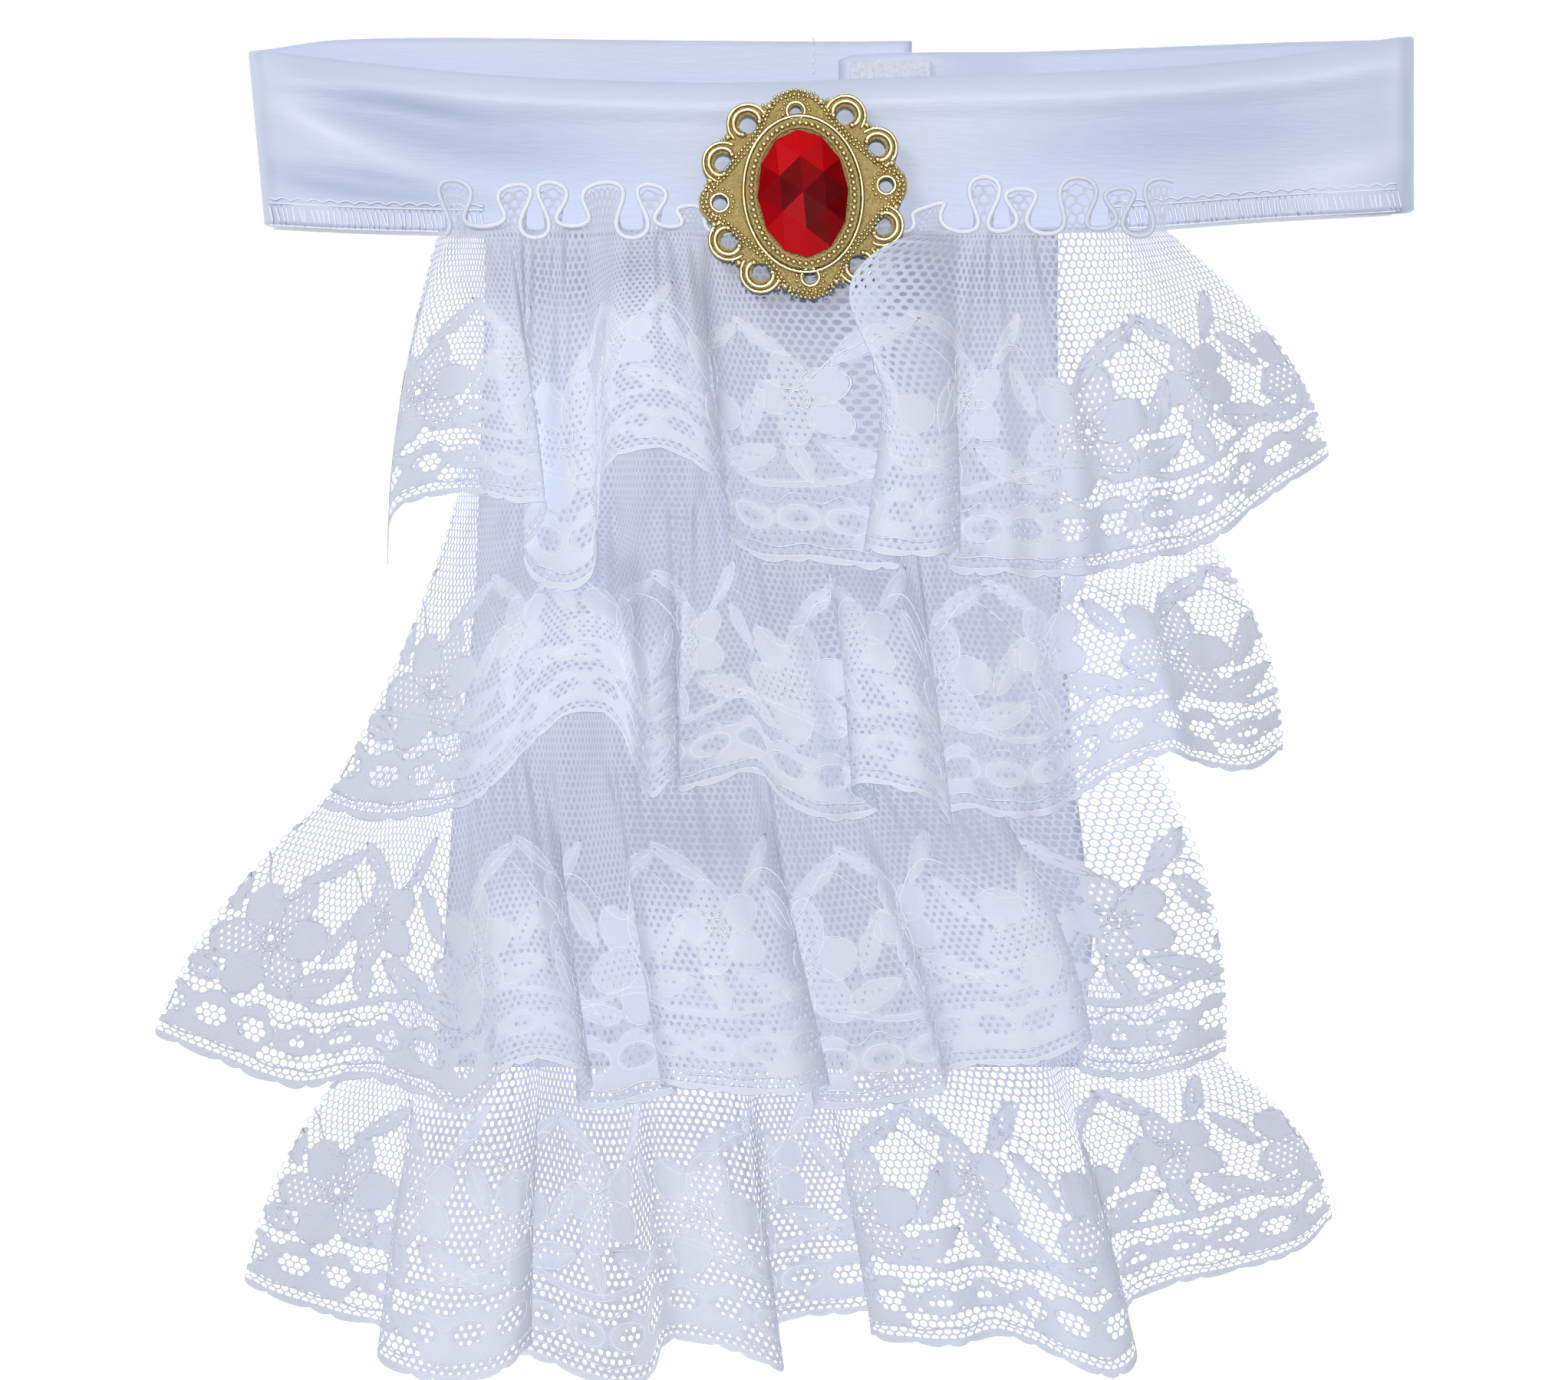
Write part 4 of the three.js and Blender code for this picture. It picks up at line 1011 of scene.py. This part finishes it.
class Relief(Collector):
    """Small closed forms gathered into one mesh, in the frame of whatever they sit on."""

    def beads(self, places, radius):
        """A bead is rows of latitude from pole to pole. Each place gets a copy of the same bead."""
        tilt = np.linspace(0, np.pi, BEAD_ROWS + 1)[:, None]
        turn = np.linspace(0, 2 * np.pi, BEAD_SIDES + 1)[None, :]
        round_x, round_y = np.sin(tilt) * np.cos(turn), np.sin(tilt) * np.sin(turn)
        bead = np.stack([round_x, round_y, np.cos(tilt) + 0 * turn], axis=-1).reshape(-1, 3)
        for place in places:
            self.add(place + radius * bead, 0.5 + 0.5 * bead[:, 2], grid_faces(BEAD_SIDES + 1, BEAD_ROWS + 1))

    def wire(self, path, radius, high, closed=False):
        """A circle carried along a flat path at a height. Open ends are rounded, like a hemisphere."""
        ahead = np.gradient(path, axis=0)
        if closed:
            ahead[0] = ahead[-1] = path[1] - path[-2]
        ahead /= np.linalg.norm(ahead, axis=1, keepdims=True)
        aside = np.stack([-ahead[:, 1], ahead[:, 0], 0 * ahead[:, 0]], axis=1)
        steps = path_steps(path)
        to_end = np.minimum(steps, steps[-1] - steps) / radius
        grow = np.ones(len(path)) if closed else np.sqrt(1 - np.clip(1 - to_end, 0, 1) ** 2)
        angle = np.linspace(0, 2 * np.pi, WIRE_SIDES + 1)[:, None, None]
        middle = np.column_stack([path, np.broadcast_to(high, len(path))])
        round_wire = np.cos(angle) * aside + np.sin(angle) * np.array([0, 0, 1])
        up = np.repeat(np.sin(angle), len(path))
        points = middle + radius * grow[:, None] * round_wire
        self.add(points.reshape(-1, 3), 0.5 + 0.5 * up, grid_faces(len(path), WIRE_SIDES + 1)[:, ::-1])

    def piece(self, name, material, place=lambda points: points):
        """The mesh, with points that lie on each other merged, so seams and poles are closed."""
        points = place(np.concatenate(self.points))
        piece = new_piece(name, points, self.faces, material, weight=np.concatenate(self.weights))
        form = bmesh.new()
        form.from_mesh(piece.data)
        bmesh.ops.remove_doubles(form, verts=form.verts, dist=MERGE * MM)
        bmesh.ops.dissolve_degenerate(form, edges=form.edges, dist=MERGE * MM)
        bmesh.ops.recalc_face_normals(form, faces=form.faces)
        form.to_mesh(piece.data)
        form.free()
        for face in piece.data.polygons:
            face.use_smooth = True
        return piece


def path_steps(path):
    """The distance along a path at each of its points."""
    return np.concatenate([[0], np.cumsum(np.linalg.norm(np.diff(path, axis=0), axis=1))])


# %% [markdown]
# Sewing thread is matt cotton, painted lighter on the crown of each strand and darker in the hollows between
# strands, as painted light and shade.

# %% Sewing thread
COTTON_LIGHT = (0.82, 0.86, 0.95, 1)
COTTON_SHADE = (0.40, 0.46, 0.62, 1)

cotton = Finish("sewing_thread", Roughness=0.6, Sheen_Weight=0.3, Specular_IOR_Level=0.3)
ply = cotton.noise(2600, detail=2)
# Painted light and shade: each strand is painted lighter on its crown and darker at its foot.
strand = cotton.attribute("weight")
cotton_material = cotton.feed(
    Base_Color=cotton.blend(2.6 * strand + 0.5 * ply - 1.7, COTTON_SHADE, COTTON_LIGHT),
    Normal=cotton.bump(ply, 0.00005),
)
print("nodes in the sewing thread's finish:", len(cotton.tree.nodes))

# %% [markdown]
# The band's cut edge is overlocked: a looping thread wraps it in close slanted ribs, no two slanted alike,
# and a small wavy chain holds their tops. It shows at both ends of the front, where no lace covers it. Each
# strand is a real wire on the satin. A short line of stitches crosses the strap behind.

# %% Overlocked edge and stitches
OVERLOCK_SPANS = [(-100.5, -58), (64, 120.5)]
OVERLOCK = dict(high=4.6, rib=0.24, pitch=1.15, slant=0.9, chain=0.2, apart=0.3, wave=0.55, wave_pitch=3.1)
RUN_STEP = 0.3
STRAP_STITCH = dict(x=6.2, low=122.5, high=130.6, pitch=2.0, long=1.5)
FACE_Z = FRONT_Z + BAND_HALF

on_front = (path_z > FRONT_Z - 0.05) & (turn_x > 0)
front_order = np.argsort(path_x[on_front])
hem_x = path_x[on_front][front_order]
hem_y = path_bottom[on_front][front_order]
rng = np.random.default_rng(7)
stitches = Relief()
for low, high in OVERLOCK_SPANS:
    run = np.arange(low, high, RUN_STEP)
    hem = np.interp(run, hem_x, hem_y)
    wave = OVERLOCK["wave"] * np.abs(np.sin(np.pi * run / OVERLOCK["wave_pitch"]))
    upper = hem + OVERLOCK["high"] + OVERLOCK["apart"] + wave
    lower = hem + OVERLOCK["high"] - OVERLOCK["apart"]
    stitches.wire(np.stack([run, upper], axis=1), OVERLOCK["chain"], FACE_Z + 0.3)
    stitches.wire(np.stack([run, lower], axis=1), OVERLOCK["chain"], FACE_Z + 0.2)
    stitches.wire(np.stack([run, hem], axis=1), OVERLOCK["rib"], FACE_Z - 0.2)
    for rib_x in np.arange(low, high, OVERLOCK["pitch"]):
        lean_x = rib_x + OVERLOCK["slant"] * rng.uniform(0.3, 1.7)
        foot = np.array([lean_x, np.interp(lean_x, hem_x, hem_y) - 0.1])
        head = np.array([rib_x, np.interp(rib_x, hem_x, hem_y) + OVERLOCK["high"] - 0.2])
        rib = head + (foot - head) * np.linspace(0, 1, 5)[:, None]
        stitches.wire(rib, OVERLOCK["rib"], FACE_Z + 0.12)
for stitch_y in np.arange(STRAP_STITCH["low"], STRAP_STITCH["high"], STRAP_STITCH["pitch"]):
    dash_y = np.linspace(stitch_y, stitch_y + STRAP_STITCH["long"], 6)
    dash = np.stack([np.full(6, STRAP_STITCH["x"]), dash_y], axis=1)
    stitches.wire(dash, OVERLOCK["chain"], STRAP_Z + BAND_HALF)

overlock = stitches.piece("neckband_stitches", cotton_material)
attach(overlock, "root")
print("stitch triangles", triangles(overlock))

# %% [markdown]
# Gilt plating is a true metal: its colour is in its reflection. The field of the plate was cast with a fine
# grain and is rougher than the raised wires, and its colour is painted darker, a painted shade in the recess.

# %% Gilt
GILT_COLOUR = (0.90, 0.76, 0.40, 1)
GILT_DEEP = (0.74, 0.58, 0.25, 1)
GILT_SHADE = (0.15, 0.095, 0.02, 1)
# The field's two colours are painted darker than the gilt's, as a painted shade in the recess.
FIELD_COLOUR = (0.40, 0.315, 0.135, 1)
FIELD_DEEP = (0.14, 0.10, 0.03, 1)

gilt = Finish("gilt", Metallic=1.0)
patches = gilt.noise(300, detail=3)
# Painted shade: the foot and sides of each wire and bead are painted dark, from their weight.
crown = gilt.attribute("weight")
gilt_material = gilt.feed(
    Base_Color=gilt.blend(3.4 * crown - 1.9, GILT_SHADE, gilt.blend(patches, GILT_DEEP, GILT_COLOUR)),
    Roughness=0.10 + 0.16 * patches,
    Normal=gilt.bump(patches, 0.0001),
)
field = Finish("gilt_field", Metallic=1.0)
grain = field.noise(3200, detail=3)
field_material = field.feed(
    Base_Color=field.blend(grain, FIELD_DEEP, FIELD_COLOUR),
    Roughness=0.3 + 0.2 * grain,
    Normal=field.bump(grain, 0.00025),
)


def refinish(node_name, material):
    """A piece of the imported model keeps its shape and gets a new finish."""
    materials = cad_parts[node_name].data.materials
    materials.clear()
    materials.append(material)


refinish("brooch_frame", field_material)
print("gilt finishes:", gilt_material.name, field_material.name)

# %% [markdown]
# The brooch is a cheap bright casting: a pierced plate, and on it smooth wires, loops and rows of beads that
# were all in one mould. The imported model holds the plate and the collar. The relief on top has its own frame,
# centred at the throat and turned a little, and its places are an angle and a distance from the middle.

# %% The brooch's own frame
BROOCH_PLACE = (4.1, 99.8)
BROOCH_TURN = np.radians(5)
COLLAR_RISE = 1.5
COLLAR_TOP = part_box("brooch_frame")[1].z / MM
PLATE_TOP = COLLAR_TOP - COLLAR_RISE


def on_brooch(points):
    x, y, z = points.T
    return np.column_stack([placed(x, y, *BROOCH_PLACE, BROOCH_TURN), z])


def polar(angle, out):
    return np.stack([out * np.cos(np.radians(angle)), out * np.sin(np.radians(angle))], axis=-1)


def evenly(path, pitch):
    """Places at an even pitch along a closed path, with its first point not repeated."""
    steps = path_steps(path)
    at = np.linspace(0, steps[-1], round(steps[-1] / pitch) + 1)
    return np.stack([np.interp(at, steps, path[:, 0]), np.interp(at, steps, path[:, 1])], axis=1)[:-1]


def raised(places, high):
    return np.column_stack([places, np.full(len(places), high)])


print("plate and collar, mm high:", round(PLATE_TOP, 2), round(COLLAR_TOP, 2))

# %% [markdown]
# Eight holes between the axes each have an open loop that ends in two beads, and a thin rim outside it. The
# four holes on the axes have a ring of wire and a ring of beads. Three beads fill each notch of the plate.

# %% Loops, rings and notches
LOOPED_HOLES = [(123.4, 17.3), (153.4, 16.7), (207, 16.9), (236.6, 17.3), (303.4, 17.3), (333.4, 16.7),
                (27, 16.9), (56.6, 17.3)]
AXIS_HOLES = [(90, 16.2), (181, 16.3), (270, 16.2), (1, 16.3)]
NOTCHES = (106, 138, 167, 194, 222, 254, 286, 318, 347, 14, 42, 74)
LOOP = dict(reach=2.85, wire=0.5, gap=58, curl=0.7, curl_over=26, end=0.66, rise=0.35, end_rise=0.4)
LOBE_RIM = dict(reach=3.85, wire=0.36, sweep=104, rise=0.05)
AXIS_RING = dict(reach=1.75, wire=0.36, bead_reach=2.65, bead=0.36, beads=15, rise=0.1)
NOTCH = dict(out=18.3, bead=0.72, rise=0.15, small_out=18.9, small=0.4, small_rise=0.1, apart=3.4)

relief = Relief()
for angle, out in LOOPED_HOLES:
    sweep = np.linspace(LOOP["gap"], 360 - LOOP["gap"], 44)
    curl = LOOP["curl"] * np.exp(-np.minimum(sweep - sweep[0], sweep[-1] - sweep) / LOOP["curl_over"])
    loop = polar(angle, out) + polar(angle + 180 + sweep, LOOP["reach"] - curl)
    relief.wire(loop, LOOP["wire"], PLATE_TOP + LOOP["rise"])
    relief.beads(raised(loop[[1, -2]], PLATE_TOP + LOOP["end_rise"]), LOOP["end"])
for angle, out in LOOPED_HOLES:
    sweep = angle + np.linspace(-LOBE_RIM["sweep"], LOBE_RIM["sweep"], 34)
    rim = polar(angle, out) + polar(sweep, LOBE_RIM["reach"])
    relief.wire(rim, LOBE_RIM["wire"], PLATE_TOP + LOBE_RIM["rise"])
for angle, out in AXIS_HOLES:
    ring = polar(angle, out) + polar(np.linspace(0, 360, 25), AXIS_RING["reach"])
    relief.wire(ring, AXIS_RING["wire"], PLATE_TOP + AXIS_RING["rise"], closed=True)
    turn = np.linspace(0, 360, AXIS_RING["beads"], endpoint=False)
    ring = polar(angle, out) + polar(turn, AXIS_RING["bead_reach"])
    relief.beads(raised(ring, PLATE_TOP + AXIS_RING["rise"]), AXIS_RING["bead"])
for angle in NOTCHES:
    pair = polar(np.array([angle - NOTCH["apart"], angle + NOTCH["apart"]]), NOTCH["small_out"])
    relief.beads(raised(polar(angle, NOTCH["out"])[None], PLATE_TOP + NOTCH["rise"]), NOTCH["bead"])
    relief.beads(raised(pair, PLATE_TOP + NOTCH["small_rise"]), NOTCH["small"])
print("wires and beads round the holes:", len(relief.points))

# %% [markdown]
# A double row of beads winds between the holes. Its distance from the middle is a short table by angle for
# one quarter, mirrored for the others. The collar round the stone has a row of larger beads inside a smooth
# ridge.

# %% Rows of beads and the collar
RIB_QUARTER = [(0, 19.3), (6, 18.9), (11, 17.3), (17, 15.9), (26, 14.9), (37, 14.3), (48, 14.1), (58, 14.8),
               (66, 16.0), (72, 17.6), (79, 19.2), (90, 19.9)]
RIB = dict(bead=0.38, aside=0.43, pitch=0.88, rise=0.2)
COLLAR_BEADS = dict(wide=10.0, high=13.7, bead=0.58, pitch=1.2, rise=0.1)
COLLAR_RIDGE = dict(wide=11.55, high=15.2, wire=0.42, rise=0.25)

quarter = np.linspace(0, 90, 91)
out = np.interp(quarter, *np.array(RIB_QUARTER).T)
whole = np.concatenate([polar(quarter, out), polar(180 - quarter, out)[::-1], polar(180 + quarter, out),
                        polar(360 - quarter, out)[::-1]])
reach = np.linalg.norm(whole, axis=1, keepdims=True)
for aside in (-RIB["aside"], RIB["aside"]):
    row = evenly(whole * (1 + aside / reach), RIB["pitch"])
    relief.beads(raised(row, PLATE_TOP + RIB["rise"]), RIB["bead"])

oval = polar(np.linspace(0, 360, 181), 1)
collar = evenly(oval * (COLLAR_BEADS["wide"], COLLAR_BEADS["high"]), COLLAR_BEADS["pitch"])
relief.beads(raised(collar, COLLAR_TOP + COLLAR_BEADS["rise"]), COLLAR_BEADS["bead"])
ridge = oval[::2] * (COLLAR_RIDGE["wide"], COLLAR_RIDGE["high"])
relief.wire(ridge, COLLAR_RIDGE["wire"], PLATE_TOP + COLLAR_RIDGE["rise"], closed=True)
relief_piece = relief.piece("brooch_relief", gilt_material, on_brooch)
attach(relief_piece, "root")
print("brooch relief triangles", triangles(relief_piece))

# %% [markdown]
# The stone is pressed acrylic with foil behind it. Foil and facets send light back unevenly, so each facet
# is painted one tone of red, from nearly black to bright, as a painted reflection. A tone for each facet is an
# attribute of its face, and the clear body over it is the shader's coat. Its points are 12 round the back, 12
# round the girdle above them, 6 corners of the crown, and the point in the middle.

# %% The stone
GEM = dict(wide=8.85, high=12.45, girdle=0.9, rise=3.4, ring=0.56, ring_rise=0.8)
POINT_REFLECTIONS = [0.35, 0.2, 0.1, 0.72, 0.1, 0.14]
OUTWARD_REFLECTIONS = [0.8, 0.95, 0.35, 0.85, 0.2, 0.1]
GIRDLE_REFLECTIONS = [0.3, 0.62, 0.95, 0.95, 0.7, 0.4, 0.6, 0.85, 0.9, 0.85, 0.35, 0.15]
GEM_DARK = (0.07, 0.0, 0.001, 1)
GEM_BRIGHT = (0.56, 0.002, 0.006, 1)

gem_size = (GEM["wide"], GEM["high"])
gem_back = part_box("brooch_gem")[0].z / MM
girdle = polar(np.arange(12) * 30.0, 1) * gem_size
crown_ring = polar(np.arange(6) * 60.0 + 30, GEM["ring"]) * gem_size
rings = [(girdle, 0), (girdle, GEM["girdle"]), (crown_ring, GEM["girdle"] + GEM["rise"] * GEM["ring_rise"]),
         (np.zeros((1, 2)), GEM["girdle"] + GEM["rise"])]
gem_points = np.concatenate([raised(flat, gem_back + high) for flat, high in rings])

k = np.arange(6)
j = np.arange(12)
back, after_back, upper, after_upper = j, (j + 1) % 12, 12 + j, 12 + (j + 1) % 12
corner, after_corner, point = 24 + k, 24 + (k + 1) % 6, np.full(6, 30)
point_facets = np.stack([corner, after_corner, point], axis=1)
outward_facets = np.stack([corner, 12 + (2 * k + 2) % 12, after_corner], axis=1)
girdle_facets = np.stack([upper, after_upper, 24 + j // 2], axis=1)
gem_faces = [np.concatenate([point_facets, outward_facets, girdle_facets]),
             np.stack([back, after_back, after_upper, upper], axis=1), back[None, ::-1]]
gem_reflections = np.concatenate([POINT_REFLECTIONS, OUTWARD_REFLECTIONS, GIRDLE_REFLECTIONS, np.zeros(12), [0]])

stone = Finish("stone", Roughness=0.35, Coat_Weight=0.14, Coat_Roughness=0.02, Specular_IOR_Level=0.03)
clouds = stone.noise(260, detail=2)
# Painted reflection: each facet's own tone of red, from nearly black to bright.
facet_reflection = stone.attribute("tone") + 0.24 * clouds - 0.12
stone_material = stone.feed(Base_Color=stone.blend(facet_reflection, GEM_DARK, GEM_BRIGHT))
gem = new_piece("stone", on_brooch(gem_points), gem_faces, stone_material, smooth=False)
gem.data.attributes.new("tone", "FLOAT", "FACE").data.foreach_set("value", gem_reflections.astype(np.float32))
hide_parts("brooch_gem")
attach(gem, "root")
print("stone facets", len(gem.data.polygons))

# %% [markdown]
# The straps close with hook and loop tape. Its square has a field of tiny nylon loops, which reads as a
# fuzzy, sparkling white next to the satin.

# %% The hook patch
FUZZ_LIGHT = (0.80, 0.84, 0.93, 1)
FUZZ_DEEP = (0.50, 0.545, 0.66, 1)

fuzz = Finish("hook_fabric", Sheen_Weight=0.6, Sheen_Roughness=0.5, Specular_IOR_Level=0.4)
loops = fuzz.noise(1500, detail=4)
fuzz_material = fuzz.feed(
    Base_Color=fuzz.blend(loops, FUZZ_DEEP, FUZZ_LIGHT),
    Roughness=0.5 + 0.4 * loops,
    Normal=fuzz.bump(loops, 0.0005),
)
refinish("hook_patch", fuzz_material)
print("hook patch finish:", fuzz_material.name)

# %% [markdown]
# Light and ground. A white table glows a little and a pale sky lights from all round. One large soft lamp at
# the upper left gives the folds their form, and an overhead sun, in line with the view, fills them without
# long shadows. Reflections see another sky: a bright ring above the table that is dim overhead, so a flat
# plate of metal looks darker than the round wires on it.

# %% Ground and lights
AMBIENT = 0.24
GLOSS_BRIGHT = 1.15
GLOSS_OVERHEAD = 0.25
FLOOR_HALF = 1500.0

ground = Finish("ground", Base_Color=(0.93, 0.93, 0.94, 1), Roughness=0.9, Emission_Color=(1, 1, 1, 1),
                Emission_Strength=0.3)
floor_points = FLOOR_HALF * np.array([[-1, -1, 0], [1, -1, 0], [1, 1, 0], [-1, 1, 0]])
floor = new_piece("floor", floor_points, [np.array([[0, 1, 2, 3]])], ground.material)

world = bpy.data.worlds.new("studio")
world.use_nodes = True
bpy.context.scene.world = world
sky = Nodes(world.node_tree)
height = sky.node("ShaderNodeSeparateXYZ", output=2, i0=sky.node("ShaderNodeTexCoord"))


def eased(start, end, low, high):
    """A value that goes softly from low to high as the direction's height goes from start to end."""
    return sky.node("ShaderNodeMapRange", {"interpolation_type": "SMOOTHSTEP"}, i0=height, i1=start, i2=end,
                    i3=low, i4=high)


mirrored = sky.node("ShaderNodeLightPath", output=3)
bright_ring = eased(0.25, 0.72, 0.0, GLOSS_BRIGHT) * eased(0.8, 0.99, 1.0, GLOSS_OVERHEAD)
strength = AMBIENT + mirrored * (bright_ring - AMBIENT)
background = world.node_tree.nodes["Background"]
background.inputs["Color"].default_value = (0.97, 0.98, 1.0, 1)
world.node_tree.links.new(strength.socket, background.inputs["Strength"])


def lamp(name, kind, place, **settings):
    """A light at a place, aimed at the middle of the table."""
    light = bpy.data.objects.new(name, bpy.data.lights.new(name, kind))
    for setting, value in settings.items():
        setattr(light.data, setting, value)
    light.location = place
    light.rotation_euler = (-light.location).to_track_quat("-Z", "Y").to_euler()
    bpy.context.scene.collection.objects.link(light)


lamp("key", "AREA", (-0.6, 0.7, 0.95), shape="DISK", size=0.45, energy=4.0)
lamp("overhead", "SUN", (0.0, 0.0, 1.0), energy=1.85, angle=np.radians(2))
bpy.context.scene.view_settings.view_transform = "Standard"
print("lights:", [light.name for light in bpy.data.lights])
